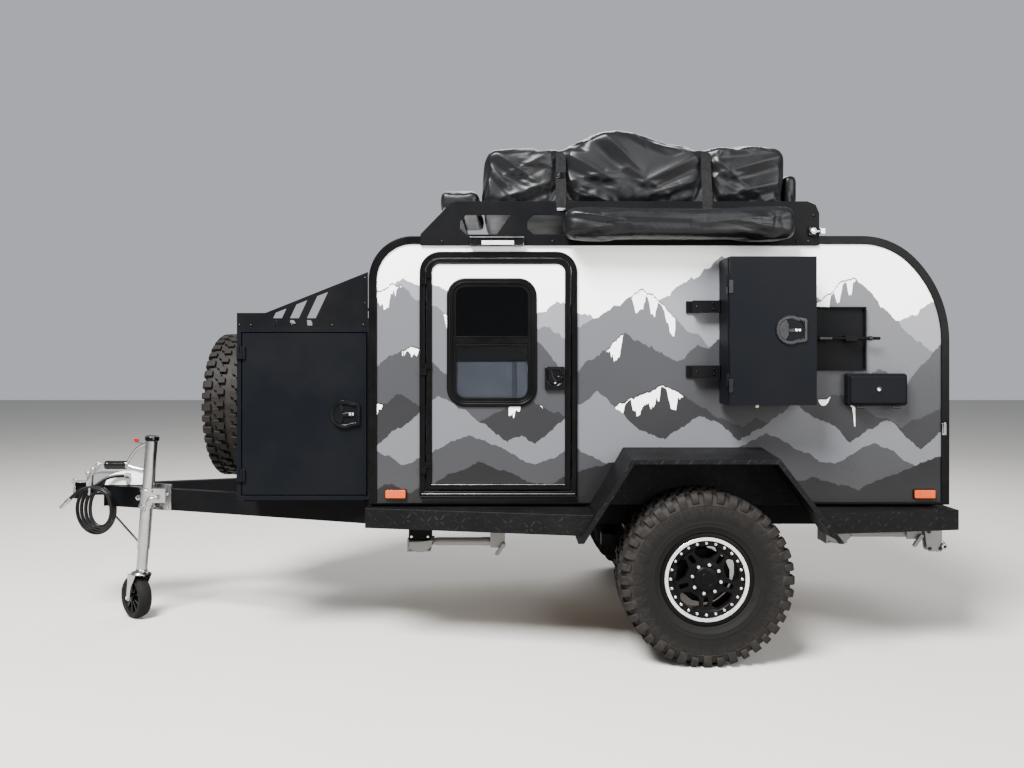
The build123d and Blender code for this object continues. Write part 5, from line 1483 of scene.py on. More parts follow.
@dataclass
class CabinShell:
    """Printed sides, white roof and hatch, edge moulding, hatch latches and the ply inside."""

    latch_z: float = 1.115
    latch_x: float = 2.35

    def build(self) -> None:
        """Dress the shell."""
        paint_nodes(RIDGES, "body_side_left", "body_side_right")
        paint_nodes(ROOF, "body_skin", "rear_hatch")
        dress(PLY, "galley", "body_floor", width=0.002)
        dress(TRIM, "edge_trims", width=0.0035)
        self.hatch_latches()
        self.mattress()

    def hatch_latches(self) -> None:
        """Add the small overcentre latch at each side of the hatch."""
        x, z = self.latch_x, self.latch_z
        base = add_box("hatch_latch_base", (x - 0.011, -0.764, z - 0.03), (x + 0.011, -0.758, z + 0.03))
        arm = add_box("hatch_latch_arm", (x - 0.006, -0.77, z - 0.02), (x + 0.006, -0.764, z + 0.034))
        show_pair(soften(join("hatch_latch", [base, arm]), 0.002), ZINC, "chassis")

    def mattress(self) -> None:
        """Make the mattress with its piping, a little crowned."""
        low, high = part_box("mattress")
        pad = add_box("mattress_pad", low + Vector((0.012, 0.012, 0.001)),
                      high - Vector((0.012, 0.012, 0.018)))
        puff(pad, voxel=0.022, pressure=1.5, shrink=0.0, cap=0.014, frames=12,
             held=lambda co: co.z < low.z + 0.02)
        show(pad, BEDDING, "chassis", "mattress")
        for z in (low.z + 0.018, high.z - 0.024):
            loop = [(low.x + 0.012, low.y + 0.03), (low.x + 0.03, low.y + 0.012),
                    (high.x - 0.03, low.y + 0.012), (high.x - 0.012, low.y + 0.03),
                    (high.x - 0.012, high.y - 0.03), (high.x - 0.03, high.y - 0.012),
                    (low.x + 0.03, high.y - 0.012), (low.x + 0.012, high.y - 0.03),
                    (low.x + 0.012, low.y + 0.03)]
            show(smooth(add_tube("mattress_piping", [(x, y, z) for x, y in loop], 0.004, 2, False)),
                 BEDDING, "chassis")


@dataclass
class CabinDoor:
    """Cabin door with its frame, moulding, sliding window and paddle latch."""

    frame_x: Point = (-0.315, 0.487)
    frame_z: Point = (0.772, 2.017)
    corner: float = 0.105
    frame_width: float = 0.029
    leaf_gap: float = 0.0345
    trim_width: float = 0.0295
    window_x: Point = (-0.176, 0.282)
    window_z: Point = (1.229, 1.882)
    window_corner: float = 0.094
    bar_z: float = 1.559
    latch_x: Point = (0.321, 0.4245)
    latch_z: Point = (1.313, 1.4325)
    face: float = -0.76

    def build(self) -> None:
        """Make both doors."""
        self.leaves()
        self.moulding()
        self.window()
        self.paddle_latch()

    def leaves(self) -> None:
        """Show the printed leaves, without the plain latch plate, and their black hinges."""
        for side in Side:
            name = f"door_{side.word}"
            leaf = merged_copy(name)
            tool = add_box("latch_tool", (0.3, 0.7602, 1.29), (0.437, 0.8, 1.45))
            if side is Side.LEFT:
                flip_across(tool)
            cut(leaf, tool)
            show(soften(leaf, 0.0008, 2, 35), DOOR_RIDGES, f"cabin_{name}", name)
            recolour(leaf, TRIM, lambda centre: abs(centre.y) > 0.7606)
        dress(TRIM, "door_frames", width=0.0015)

    def moulding(self) -> None:
        """Make the fixed bead, the leaf's own bead and the sill, with thin pale strips that are painted
        highlights along the bead and the leaf's trim.
        """
        outer = self.outline(0.0)
        bead = add_plate("door_bead", outer, -0.766, -0.75, self.frame_width)
        show_pair(soften(bead, 0.0065, 4), TRIM, "chassis")
        lip = add_plate("door_lip", self.outline(0.0045), -0.7675, -0.76, 0.006)
        show_pair(soften(lip, 0.0018, 2), TRIM, "chassis")
        trim = add_plate("door_trim", self.outline(self.leaf_gap), -0.7668, -0.759, self.trim_width)
        show_pair(soften(trim, 0.0045, 3), TRIM, "cabin_door_SIDE")
        inner = add_plate("door_trim_lip", self.outline(self.leaf_gap + self.trim_width - 0.0085), -0.768,
                          -0.76, 0.0075)
        show_pair(soften(inner, 0.0022, 3), TRIM, "cabin_door_SIDE")
        (x0, x1), z = self.frame_x, self.frame_z[0]
        sill = add_box("door_sill", (x0 + 0.006, -0.7735, z - 0.0065), (x1 - 0.006, -0.75, z + 0.004))
        show_pair(soften(sill, 0.002), TRIM, "chassis")
        # Pale strip across the bead's lower bar: a painted highlight where light catches its rounded edge.
        strip = add_box("sill_strip", (x0 + 0.012, -0.769, z + 0.014), (x1 - 0.012, -0.765, z + 0.017))
        show_pair(soften(strip, 0.0008), EDGE_HIGHLIGHT, "chassis")
        # Pale strip along the upper edge of the leaf trim's lower bar: a painted highlight.
        edge = add_box("leaf_strip", (x0 + 0.062, -0.77, z + 0.061), (x1 - 0.062, -0.766, z + 0.0635))
        show_pair(soften(edge, 0.0008), EDGE_HIGHLIGHT, "cabin_door_SIDE")

    def outline(self, inset: float) -> list[tuple[float, float]]:
        """Give the frame's outline set in, round above and square below."""
        (x0, x1), (z0, z1) = self.frame_x, self.frame_z
        return round_corners(x0 + inset, x1 - inset, z0 + inset, z1 - inset, max(self.corner - inset, 0.03),
                             0, 12)

    def window(self) -> None:
        """Make the window's frame, its beads, bar, panes and the blind behind the lower pane."""
        (x0, x1), (z0, z1), corner = self.window_x, self.window_z, self.window_corner
        rings = (("window_frame", 0.0, -0.77, 0.02, 0.006), ("window_bead", 0.0175, -0.768, 0.012, 0.003),
                 ("window_sash", 0.029, -0.764, 0.0175, 0.003))
        for name, inset, y, width, edge in rings:
            outline = round_corners(x0 + inset, x1 - inset, z0 + inset, z1 - inset, corner - inset, steps=12)
            part = soften(add_plate(name, outline, y, -0.75, width), edge, 3)
            show_pair(part, TRIM, "cabin_door_SIDE", "window_SIDE" if name == "window_frame" else None)
        inner = 0.044
        low, high = z0 + inner, z1 - inner
        left, right = x0 + inner, x1 - inner
        bar = [soften(add_box("bar", (left, -0.7655, self.bar_z - 0.01),
                              (right, -0.754, self.bar_z + 0.024)), 0.003, 3),
                              soften(add_box("bar", (left, -0.7672, self.bar_z + 0.021),
                              (right, -0.764, self.bar_z + 0.0275)), 0.001, 2),
                              soften(add_box("bar", (left, -0.762, self.bar_z - 0.026),
                              (right, -0.754, self.bar_z - 0.011)), 0.003, 3)]
        show_pair(join("window_bar", bar), TRIM, "cabin_door_SIDE")
        radius = corner - inner
        upper = round_corners(left - 0.004, right + 0.004, self.bar_z, high + 0.004, radius, 0.004, 8)
        show_pair(smooth(add_plate("window_pane", upper, -0.756, -0.752)), PANE, "cabin_door_SIDE")
        turned = round_corners(left - 0.004, right + 0.004, low, self.bar_z + 0.004, radius, 0.004, 8)
        lower = [(x, low + self.bar_z - z) for x, z in turned]
        show_pair(smooth(add_plate("window_pane_low", lower, -0.756, -0.752)), PANE_CLEAR,
                  "cabin_door_SIDE")
        blind = add_plate("window_blind", round_corners(left + 0.001, right - 0.001, low, low + 0.187, 0.03,
                                                        steps=6), -0.7475, -0.744)
        show_pair(soften(blind, 0.001), BLIND, "cabin_door_SIDE")
        seam = add_box("blind_seam", (right - 0.083, -0.75, low), (right - 0.058, -0.7475, low + 0.186))
        rail = add_box("blind_rail", (left, -0.751, low + 0.184), (right, -0.744, self.bar_z - 0.012))
        show_pair(soften(rail, 0.002), TRIM, "cabin_door_SIDE")
        show_pair(soften(seam, 0.006, 4), BLIND_SEAM, "cabin_door_SIDE")

    def paddle_latch(self) -> None:
        """Make the square latch plate with its bowl, paddle, boss and key lock."""
        (x0, x1), (z0, z1) = self.latch_x, self.latch_z
        plate = add_plate("latch_plate", round_corners(x0, x1, z0, z1, 0.011, steps=5), self.face - 0.0165,
                          self.face + 0.001)
        bowl = [(x0 + 0.012, z1 - 0.012), (x0 + 0.012, z1 - 0.055)]
        bowl += arc(x0 + 0.053, z1 - 0.055, 0.041, range(180, 361, 12))
        bowl += [(x0 + 0.094, z1 - 0.03), (x0 + 0.076, z1 - 0.012)]
        cut(plate, add_plate("bowl", bowl, self.face - 0.03, self.face - 0.0045))
        show_pair(soften(plate, 0.0022, 3), LATCH, "cabin_door_SIDE")
        paddle = add_plate("latch_paddle", mm(16, -15, 37, -15, 41, -50, 64, -78, 45, -91, 20, -80,
                                              at=(x0, z1)), self.face - 0.0125, self.face - 0.004)
        show_pair(soften(paddle, 0.003, 3), LATCH, "cabin_door_SIDE")
        boss = add_round("latch_boss", (x0 + 0.076, self.face - 0.004, z1 - 0.06),
                         (x0 + 0.076, self.face - 0.0115, z1 - 0.06), 0.0165, 0.0135, 24)
        show_pair(soften(boss, 0.002), LATCH, "cabin_door_SIDE")
        lock = add_round("latch_lock", (x0 + 0.053, self.face - 0.01, z1 - 0.083),
                         (x0 + 0.053, self.face - 0.0145, z1 - 0.083), 0.0052, 0.0048, 16)
        show_pair(soften(lock, 0.0008), BOLT, "cabin_door_SIDE")


@dataclass
class TongueBox:
    """Front locker with a hinged door on each side, and the slotted wing plates over it."""

    hinge_x: float = -1.237
    hinge_lifts: Point = (0.873, 1.505)
    latch: Point = (-0.705, 1.188)
    face: float = -0.702

    def build(self) -> None:
        """Dress the box and its doors."""
        dress(BOX_COAT, "tongue_box", width=0.0015)
        dress(BLACK_STEEL, "wing_plates", "spare_carrier", width=0.001)
        latch = RingLatch(self.latch, self.face, "box_door_SIDE", "box_latch", True)
        for side in Side:
            name = f"tongue_door_{side.word}"
            door = merged_copy(name)
            tool = latch.tool()
            if side is Side.RIGHT:
                flip_across(tool)
            show(soften(cut(door, tool), 0.0022, 3, 35), BOX_COAT, f"box_door_{side.word}", name)
        latch.build()
        for k, z in enumerate(self.hinge_lifts):
            x = self.hinge_x
            fixed = add_box(f"box_hinge_{k}", (x - 0.025, -0.7085, z - 0.034),
                            (x - 0.0095, -0.7, z + 0.034))
            show_pair(soften(fixed, 0.002), BOX_COAT, "chassis")
            moving = add_box(f"box_hinge_leaf_{k}", (x + 0.006, -0.7135, z - 0.033),
                             (x + 0.021, -0.7015, z + 0.033))
            show_pair(soften(moving, 0.002), BOX_COAT, "box_door_SIDE")
        self.bolts()

    def bolts(self) -> None:
        """Add the small dome bolts along the wing plates' foot and by the cabin."""
        places = ((-1.25, 1.646), (-1.19, 1.646), (-0.98, 1.646), (-0.77, 1.646), (-0.61, 1.646),
                  (-0.601, 1.89), (-0.601, 1.76))
        profile = mm(0, 3.5, 4, 3, 6.5, 0, 6.5, -2, 0, -2)
        dome_bolts("wing_bolts", places, -0.7, profile)


@dataclass
class KitchenBox:
    """Swinging kitchen box on two arms, its door, the backing tray and the latch rod."""

    latch: Point = (1.499, 1.61)
    door_face: float = -0.975
    hinge_lifts: Point = (1.34, 1.82)
    arm_z: Point = (1.735, 1.408)
    pivot: Point = (1.08, -0.79)

    def build(self) -> None:
        """Dress the box."""
        dress(BOX_COAT, "side_box", width=0.0018)
        dress(BLACK_STEEL, "side_box_mounts", width=0.001)
        latch = RingLatch(self.latch, self.door_face, "kitchen_box_door", "kitchen_latch", proud=0.0085,
                          dish=0.002)
        door = soften(cut(merged_copy("side_box_door"), latch.tool()), 0.0025, 3, 35)
        show(door, BOX_COAT, "kitchen_box_door", "side_box_door")
        latch.build()
        for k, z in enumerate(self.hinge_lifts):
            leaf = add_box(f"kitchen_hinge_{k}", (1.2005, -0.979, z - 0.033), (1.224, -0.9745, z + 0.033))
            show(soften(leaf, 0.002), LATCH, "kitchen_box_door")
            plate = add_box(f"kitchen_hinge_plate_{k}", (1.2015, -0.95, z - 0.033),
                            (1.2045, -0.925, z + 0.033))
            show(soften(plate, 0.001), LATCH, "kitchen_box")
        self.arms()
        self.fittings()

    def arms(self) -> None:
        """Cover the two arms with channels and add their pins and bolts."""
        x, y = self.pivot
        for k, z in enumerate(self.arm_z):
            channel = add_box("channel", (x - 0.018, y - 0.0165, z - 0.0305),
                              (1.2035, y - 0.0115, z + 0.0305))
            webs = [add_box("web", (x + 0.014, y - 0.012, z + dz - 0.002),
                            (1.2035, y + 0.01, z + dz + 0.002)) for dz in (-0.0285, 0.0285)]
            arm = soften(join(f"arm_channel_{k}", [channel] + webs), 0.0012)
            show(arm, BLACK_STEEL, "kitchen_box")
            heads = [add_round("head", (px, y - 0.016, z + dz), (px, y - 0.0205, z + dz), 0.0055, 0.0045, 12)
                     for px, dz in ((x + 0.002, 0.0), (x + 0.088, 0.014), (x + 0.088, -0.014))]
            show(soften(join(f"arm_bolts_{k}", heads), 0.0008), LATCH, "kitchen_box")
            pin = add_round(f"arm_pin_{k}", (1.197, y - 0.023, z - 0.034), (1.197, y - 0.023, z + 0.034),
                            0.0042, sides=16)
            show(soften(pin, 0.001), LATCH, "kitchen_box")

    def fittings(self) -> None:
        """Add the eyelet under the box, the knob beside it and the rod's sleeve on the tray."""
        eye = add_spun("box_eyelet", mm(3.5, -2, 7.5, -2, 8.5, 0, 7.5, 2, 3.5, 2, 3.5, -2),
                       (1.345, -0.952, 1.24), 16, (0, 1, 0))
        show(smooth(eye), BRASS, "kitchen_box")
        tab = add_box("eyelet_tab", (1.337, -0.954, 1.2485), (1.353, -0.95, 1.26))
        show(soften(tab, 0.0008), BRASS, "kitchen_box")
        knob = add_spun("tray_knob", mm(0, 14, 6, 13, 9, 9, 8, 4, 4.5, 0, 0, 0), (1.65, -0.75, 1.35), 20,
                        (0, -1, 0))
        show(smooth(knob, 50), BRASS, "chassis")
        sleeve = add_round("rod_sleeve", (1.7, -0.798, 1.575), (1.765, -0.798, 1.575), 0.0115, sides=16)
        collar = add_round("rod_collar", (1.95, -0.798, 1.575), (1.968, -0.798, 1.575), 0.0115, sides=16)
        show(soften(join("rod_sleeves", [sleeve, collar]), 0.0015), LATCH, "chassis")


@dataclass
class PowerInlet:
    """Inlet housing with its sprung lid and lock."""

    x: Point = (1.845, 2.145)
    z: Point = (1.236, 1.398)
    lock: Point = (1.995, 1.317)

    def build(self) -> None:
        """Make the housing, the lid with its raised rim and the lock."""
        (x0, x1), (z0, z1) = self.x, self.z
        housing = add_plate("inlet_body", round_corners(x0, x1, z0, z1, 0.014, steps=5), -0.778, -0.75)
        show(soften(housing, 0.003, 3), BOX_COAT, "chassis", "inlet_housing")
        shell = add_plate("shell", round_corners(x0, x1, z0, z1, 0.016, steps=5), -0.801, -0.7785)
        front = add_plate("front", round_corners(x0 + 0.009, x1 - 0.009, z0 + 0.009, z1 - 0.009, 0.014,
                                                 steps=5), -0.815, -0.799)
        lid = join("inlet_lid_shell", [soften(shell, 0.006, 4), soften(front, 0.009, 5)])
        show(lid, BOX_COAT, "inlet_cover", "inlet_lid")
        x, z = self.lock
        bezel = add_spun("inlet_bezel", mm(8.5, 0, 15, 0, 16, 1, 15, 2.6, 8.5, 3, 8.5, 0), (x, -0.815, z),
                         32, (0, -1, 0))
        show(smooth(bezel, 35), LATCH, "inlet_cover")
        lock = add_round("inlet_lock", (x, -0.815, z), (x, -0.8185, z), 0.008, 0.0074, 24)
        show(soften(lock, 0.0008), BOLT, "inlet_cover")
        barrels = [add_round("barrel", (px - 0.022, -0.813, z0 - 0.008), (px + 0.022, -0.813, z0 - 0.008),
                             0.0055, sides=16) for px in (x0 + 0.06, x1 - 0.06)]
        show(soften(join("inlet_hinges", barrels), 0.0008), LATCH, "inlet_cover")


@dataclass
class RearFittings:
    """Handle with its lock, blank number plate with its lamp, and two rubber stops on the hatch."""

    face: float = 2.3745
    handle_z: float = 0.905
    plate_y: Point = (0.17, 0.55)
    plate_z: Point = (0.9, 1.02)

    def build(self) -> None:
        """Make the fittings, all carried by the hatch."""
        x, z = self.face, self.handle_z
        dish = self.panel("hatch_dish", (-0.085, 0.085), (z - 0.05, z + 0.05), 0.004, 0.012)
        show(soften(dish, 0.0015), LATCH, "galley_hatch")
        bowl = self.panel("hatch_bowl", (-0.068, 0.068), (z - 0.033, z + 0.033), 0.0075, 0.01)
        show(soften(bowl, 0.0025, 3), TRIM, "galley_hatch")
        grip = add_tube("hatch_grip", [(x + 0.006, -0.05, z + 0.012), (x + 0.024, -0.046, z + 0.01),
                                       (x + 0.026, -0.03, z + 0.01), (x + 0.026, 0.03, z + 0.01),
                                       (x + 0.024, 0.046, z + 0.01), (x + 0.006, 0.05, z + 0.012)],
                                       0.0062, 3)
        show(smooth(grip), ZINC, "galley_hatch")
        lock = add_round("hatch_lock", (x + 0.006, 0.0, z - 0.018), (x + 0.0125, 0.0, z - 0.018), 0.0085,
                         0.0078, 24)
        show(soften(lock, 0.0008), BOLT, "galley_hatch")
        holder = self.panel("plate_holder", (self.plate_y[0] - 0.008, self.plate_y[1] + 0.008),
                            (self.plate_z[0] - 0.008, self.plate_z[1] + 0.008), 0.0045, 0.01)
        show(soften(holder, 0.0015), TRIM, "galley_hatch")
        plate = self.panel("blank_plate", self.plate_y, self.plate_z, 0.0062, 0.008)
        show(soften(plate, 0.001), WHITE_STEEL, "galley_hatch")
        middle = sum(self.plate_y) / 2
        lamp = add_box("plate_lamp", (x, middle - 0.045, self.plate_z[1] + 0.014),
                       (x + 0.028, middle + 0.045, self.plate_z[1] + 0.036))
        show(soften(lamp, 0.006, 4), LATCH, "galley_hatch")
        for place, y in (("outer", -0.52), ("inner", -0.4)):
            stop = add_round(f"hatch_stop_{place}", (x, y, 1.25), (x + 0.018, y, 1.25), 0.011, 0.0085, 20)
            show(soften(stop, 0.002), TRIM, "galley_hatch")

    def panel(self, name: str, wide: Point, tall: Point, proud: float, radius: float) -> Piece:
        """Make a flat plate with round corners on the hatch's rear face."""
        piece = add_plate(name, round_corners(*wide, *tall, radius, steps=5), 0.0, proud)
        quarter = Matrix(((0, 1, 0, self.face), (1, 0, 0, 0), (0, 0, 1, 0), (0, 0, 0, 1)))
        piece.data.transform(quarter)
        piece.data.flip_normals()
        return piece


@dataclass
class Lamps:
    """Side markers, tail lamps and the work lamp under the rack."""

    marker_x: Point = (-0.492, 2.195)
    marker_width: float = 0.112
    marker_z: Point = (0.759, 0.81)

    def build(self) -> None:
        """Make all lamps."""
        z0, z1 = self.marker_z
        rim = 0.004
        for k, x in enumerate(self.marker_x):
            end = x + self.marker_width
            base = add_plate(f"marker_base_{k}", round_corners(x, end, z0, z1, 0.008, steps=4), -0.756,
                             -0.75)
            show_pair(soften(base, 0.0015), TRIM, "chassis")
            outline = round_corners(x + rim, end - rim, z0 + rim, z1 - rim, 0.007, steps=4)
            lens = add_plate(f"marker_lens_{k}", outline, -0.7695, -0.756)
            show_pair(soften(lens, 0.004, 3), AMBER, "chassis")
        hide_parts("lamps")
        self.tail_lamps()
        self.work_lamp()

    def tail_lamps(self) -> None:
        """Make the three-part tail lamps on the rear bar."""
        base = add_box("tail_base", (2.37, -0.62, 0.64), (2.379, -0.43, 0.705))
        show_pair(soften(base, 0.003), TRIM, "chassis")
        for name, y0, y1, finish in (("tail_turn", -0.617, -0.556, AMBER), ("tail_stop", -0.554, -0.494, RED),
                                     ("tail_mirror", -0.492, -0.433, RED)):
            lens = add_box(name, (2.378, y0, 0.643), (2.397, y1, 0.702))
            show_pair(soften(lens, 0.005, 3), finish, "chassis")

    def work_lamp(self) -> None:
        """Make the finned work lamp with its lens strip."""
        body = add_box("work_lamp_body", (-0.057, -0.79, 2.042), (0.216, -0.763, 2.088))
        pick(body, "FACE", lambda face: face.normal.y < -0.9)
        bpy.ops.mesh.inset(thickness=0.006)
        bpy.ops.transform.translate(value=(0, 0.004, 0))
        object_mode()
        show(soften(body, 0.002), LATCH, "chassis")
        lens = add_box("work_lamp_lens", (0.002, -0.7905, 2.0475), (0.165, -0.784, 2.069))
        show(soften(lens, 0.002), CLEAR, "chassis")
        # Pale strip along the lamp's top front edge: a painted highlight.
        top_highlight = add_box("work_lamp_brow", (-0.057, -0.7945, 2.0835), (0.216, -0.763, 2.0875))
        show(soften(top_highlight, 0.001), EDGE_HIGHLIGHT, "chassis")
        fins = [add_box("fin", (x, -0.788, 2.04), (x + 0.003, -0.766, 2.044))
                for x in (k * 0.0095 - 0.05 for k in range(28))]
        show(join("work_lamp_fins", fins), LATCH, "chassis")


@dataclass
class TentPack:
    """Folded roof tent in its cover, tied down by two straps."""

    x: Point = (-0.004, 1.598)
    half_width: float = 0.592
    foot: float = 2.269
    strap_x: Point = (0.413, 1.18)
    strap_half: float = 0.0255
    plate_y: float = 0.765
    plate_top: float = 2.275
    strap_end: float = 2.233
    strap_lean: Point = (0.009, 0.034)
    folds: tuple[tuple[float, ...], ...] = (
        (0.03, 2.59, 0.36, 2.35, 0.014, 0.03), (0.04, 2.5, 0.2, 2.29, 0.01, 0.02),
        (0.4, 2.58, 0.06, 2.41, 0.012, 0.026), (0.4, 2.42, 0.05, 2.3, 0.016, 0.024),
        (0.15, 2.54, 0.4, 2.48, 0.008, 0.016), (0.42, 2.57, 0.75, 2.38, 0.016, 0.032),
        (0.42, 2.4, 0.82, 2.49, 0.014, 0.028), (0.42, 2.37, 0.72, 2.29, 0.012, 0.02),
        (0.62, 2.68, 0.86, 2.44, 0.014, 0.034), (0.78, 2.37, 1.17, 2.56, 0.016, 0.03),
        (0.8, 2.32, 1.17, 2.43, 0.013, 0.022), (0.74, 2.5, 1.02, 2.31, 0.01, 0.024),
        (1.19, 2.57, 1.59, 2.6, 0.01, 0.02), (1.19, 2.43, 1.6, 2.55, 0.014, 0.028),
        (1.2, 2.32, 1.6, 2.41, 0.014, 0.024), (1.2, 2.55, 1.5, 2.29, 0.012, 0.026),
    )

    def build(self) -> None:
        """Make the pack and its straps."""
        cover = self.cover()
        tree = BVHTree.FromPolygons([v.co for v in cover.data.vertices],
                                    [p.vertices for p in cover.data.polygons])
        for k, x in enumerate(self.strap_x):
            self.strap(k, x, tree)

    def cover(self) -> Piece:
        """Make the cover from its side view and let it puff and wrinkle."""
        x0, x1 = self.x
        top = [(x1 - 0.004, 2.34), (x1 - 0.008, 2.552), (x1 - 0.03, 2.592), (1.4, 2.602), (1.24, 2.6),
               (1.145, 2.59), (1.066, 2.602), (0.961, 2.622), (0.88, 2.648), (0.8, 2.672), (0.72, 2.686),
               (0.645, 2.682), (0.566, 2.655), (0.487, 2.612), (0.41, 2.592), (0.3, 2.596), (0.18, 2.588),
               (0.06, 2.58), (0.018, 2.562), (x0 + 0.006, 2.34)]
        pack = add_plate("tent_pack", [(x1, self.foot)] + top + [(x0, self.foot)], -self.half_width,
                         self.half_width)
        bevel(pack, 0.032, 3)
        apply_modifier(pack, "REMESH", mode="VOXEL", voxel_size=0.015)
        for vertex in pack.data.vertices:
            squeeze = sum(math.exp(-((vertex.co.x - x) / 0.045) ** 2) for x in self.strap_x)
            high = max(0.0, min(1.0, (vertex.co.z - self.foot) / 0.1))
            vertex.co.z -= 0.01 * squeeze * high
            vertex.co.y *= 1 - 0.018 * squeeze * high
        puff(pack, 0.0155, pressure=0.8, shrink=-0.035, cap=0.012, frames=18,
             held=lambda co: co.z < self.foot + 0.02 or any(abs(co.x - x) < 0.022 for x in self.strap_x))
        press_folds(pack, self.folds, self.half_width - 0.055, sum(self.x) / 2)
        show(pack, COVER_CLOTH, "chassis", "tent_cover")
        return pack

    def strap(self, index: int, x: float, tree: BVHTree) -> None:
        """Lay one strap over the pack and down over the rack's two plates.

        Args:
            index: Number of the strap.
            x: Middle of the strap.
            tree: Faces of the finished cover.
        """
        core = Vector((x, 0.0, 2.3))
        found = []
        for degrees in range(2, 179, 3):
            way = Vector((0, math.cos(math.radians(degrees)), math.sin(math.radians(degrees))))
            hit = tree.ray_cast(core + way * 2, -way)[0]
            if hit is not None:
                found.append((hit.y, hit.z))
        edge = (self.plate_y, self.plate_top)
        points = self.taut([edge, (-edge[0], edge[1])] + found)
        points = [(self.plate_y, self.strap_end)] + points + [(-self.plate_y, self.strap_end)]
        piece = self.ribbon(f"tent_strap_{index}", x, [(y, z + 0.002 if z > 2.3 else z) for y, z in points],
                            self.strap_half)
        for vertex in piece.data.vertices:
            vertex.co.x -= self.strap_lean[index] * max(0.0, (abs(vertex.co.y) - 0.6) / 0.165)
        show(piece, STRAP, "chassis")
        side = -self.plate_y
        x -= self.strap_lean[index]
        hook = add_box(f"strap_hook_{index}", (x - 0.021, side - 0.004, self.strap_end - 0.01),
                       (x + 0.021, side + 0.01, self.strap_end + 0.004))
        show_pair(soften(hook, 0.0015), DULL_ZINC, "chassis")
        if index == 0:
            self.buckle(x + 0.5 * self.strap_lean[index], points)

    def taut(self, points: Iterable[tuple[float, float]]) -> list[tuple[float, float]]:
        """Give the upper hull of points, from the largest y to the smallest."""
        hull: list[tuple[float, float]] = []
        for point in sorted(points, reverse=True):
            while len(hull) >= 2:
                (ay, az), (by, bz) = hull[-2], hull[-1]
                if (by - ay) * (point[1] - az) - (bz - az) * (point[0] - ay) > 0:
                    break
                hull.pop()
            hull.append(point)
        return hull

    def ribbon(self, name: str, x: float, points: Sequence[Point], half: float) -> Piece:
        """Make a flat strap along points in y and z.

        Args:
            name: Name of the piece.
            x: Middle of the strap.
            points: Points of its run as (y, z).
            half: Half of its width.

        Returns:
            The strap as a mesh.
        """
        select_only(add_curve(name, [(y, z, 0) for y, z in points], False, dimensions="2D", fill_mode="NONE",
                              extrude=half, bevel_depth=0.0012))
        bpy.ops.object.convert(target="MESH")
        piece = bpy.context.object
        piece.data.transform(Matrix.Translation((x, 0, 0))
                             @ Matrix(((0, 0, 1, 0), (1, 0, 0, 0), (0, 1, 0, 0), (0, 0, 0, 1))))
        return smooth(settle(piece, name), 40)

    def buckle(self, x: float, points: Sequence[Point]) -> None:
        """Add the ladder-lock buckle on the left side."""
        high, low = points[-3], points[-2]
        way = (Vector((0, *low)) - Vector((0, *high))).normalized()
        out = Vector((0, way.z, -way.y)) if way.z < 0 else Vector((0, -way.z, way.y))
        centre = Vector((x, *high)) + way * 0.5 * (Vector(low) - Vector(high)).length + out * 0.004
        body = add_box("strap_buckle", (-0.026, -0.02, -0.003), (0.026, 0.02, 0.004))
        bars = [add_box("bar", (-0.024, y - 0.003, 0.003), (0.024, y + 0.003, 0.007))
                for y in (-0.012, 0.0, 0.012)]
        buckle = soften(join("strap_buckle", [body] + bars), 0.0015)
        turn = Matrix((Vector((1, 0, 0)), way, out)).transposed().to_4x4()
        buckle.data.transform(Matrix.Translation(centre) @ turn)
        show(buckle, LATCH, "chassis")


@dataclass
class RoofBags:
    """Rolled awning in its bag beside the rack, and the two small bags on the rack."""

    awning_x: Point = (0.418, 1.552)
    folds: tuple[tuple[float, ...], ...] = (
        (0.43, 2.2, 0.74, 2.14, 0.007, 0.014), (0.43, 2.09, 0.8, 2.15, 0.006, 0.014),
        (0.55, 2.17, 1.1, 2.155, 0.004, 0.012), (1.02, 2.13, 1.54, 2.18, 0.005, 0.014),
        (1.15, 2.17, 1.54, 2.1, 0.006, 0.014),
    )

    def build(self) -> None:
        """Make the awning bag and the small bags."""
        self.awning()
        self.small("front_bag", (-0.226, -0.553, 2.2685), (-0.026, 0.193, 2.372))
        self.small("rear_bag", (1.616, -0.513, 2.2685), (1.688, 0.243, 2.468))

    def awning(self) -> None:
        """Make the awning bag with puckered ends, and the rail over it."""
        x0, x1 = self.awning_x
        bag = add_box("awning_bag", (x0, -0.92, 2.062), (x1, -0.764, 2.222))
        bevel(bag, 0.045, 4)
        apply_modifier(bag, "REMESH", mode="VOXEL", voxel_size=0.009)
        for vertex in bag.data.vertices:
            ends = math.exp(-(vertex.co.x - x0) / 0.03) + 0.6 * math.exp(-(x1 - vertex.co.x) / 0.03)
            if vertex.co.y < -0.775:
                vertex.co.y += 0.02 * ends
                vertex.co.z += (2.142 - vertex.co.z) * 0.14 * ends
        puff(bag, 0.0095, pressure=1.2, shrink=-0.03, cap=0.007, frames=18, held=lambda co: co.y > -0.773)
        press_folds(bag, self.folds, 0.86, 0.985)
        show(bag, AWNING_CLOTH, "chassis", "bags")
        rail = add_box("awning_rail", (0.415, -0.792, 2.217), (1.555, -0.764, 2.227))
        show(soften(rail, 0.002), BLACK_STEEL, "chassis")

    def small(self, name: str, low: Point, high: Point) -> None:
        """Make one small bag between two corners."""
        bag = add_box(name, low, high)
        bevel(bag, 0.03, 3)
        puff(bag, 0.01, pressure=2.5, shrink=-0.06, cap=0.012, frames=16,
             held=lambda co: co.z < low[2] + 0.01)
        show(bag, COVER_CLOTH, "chassis")


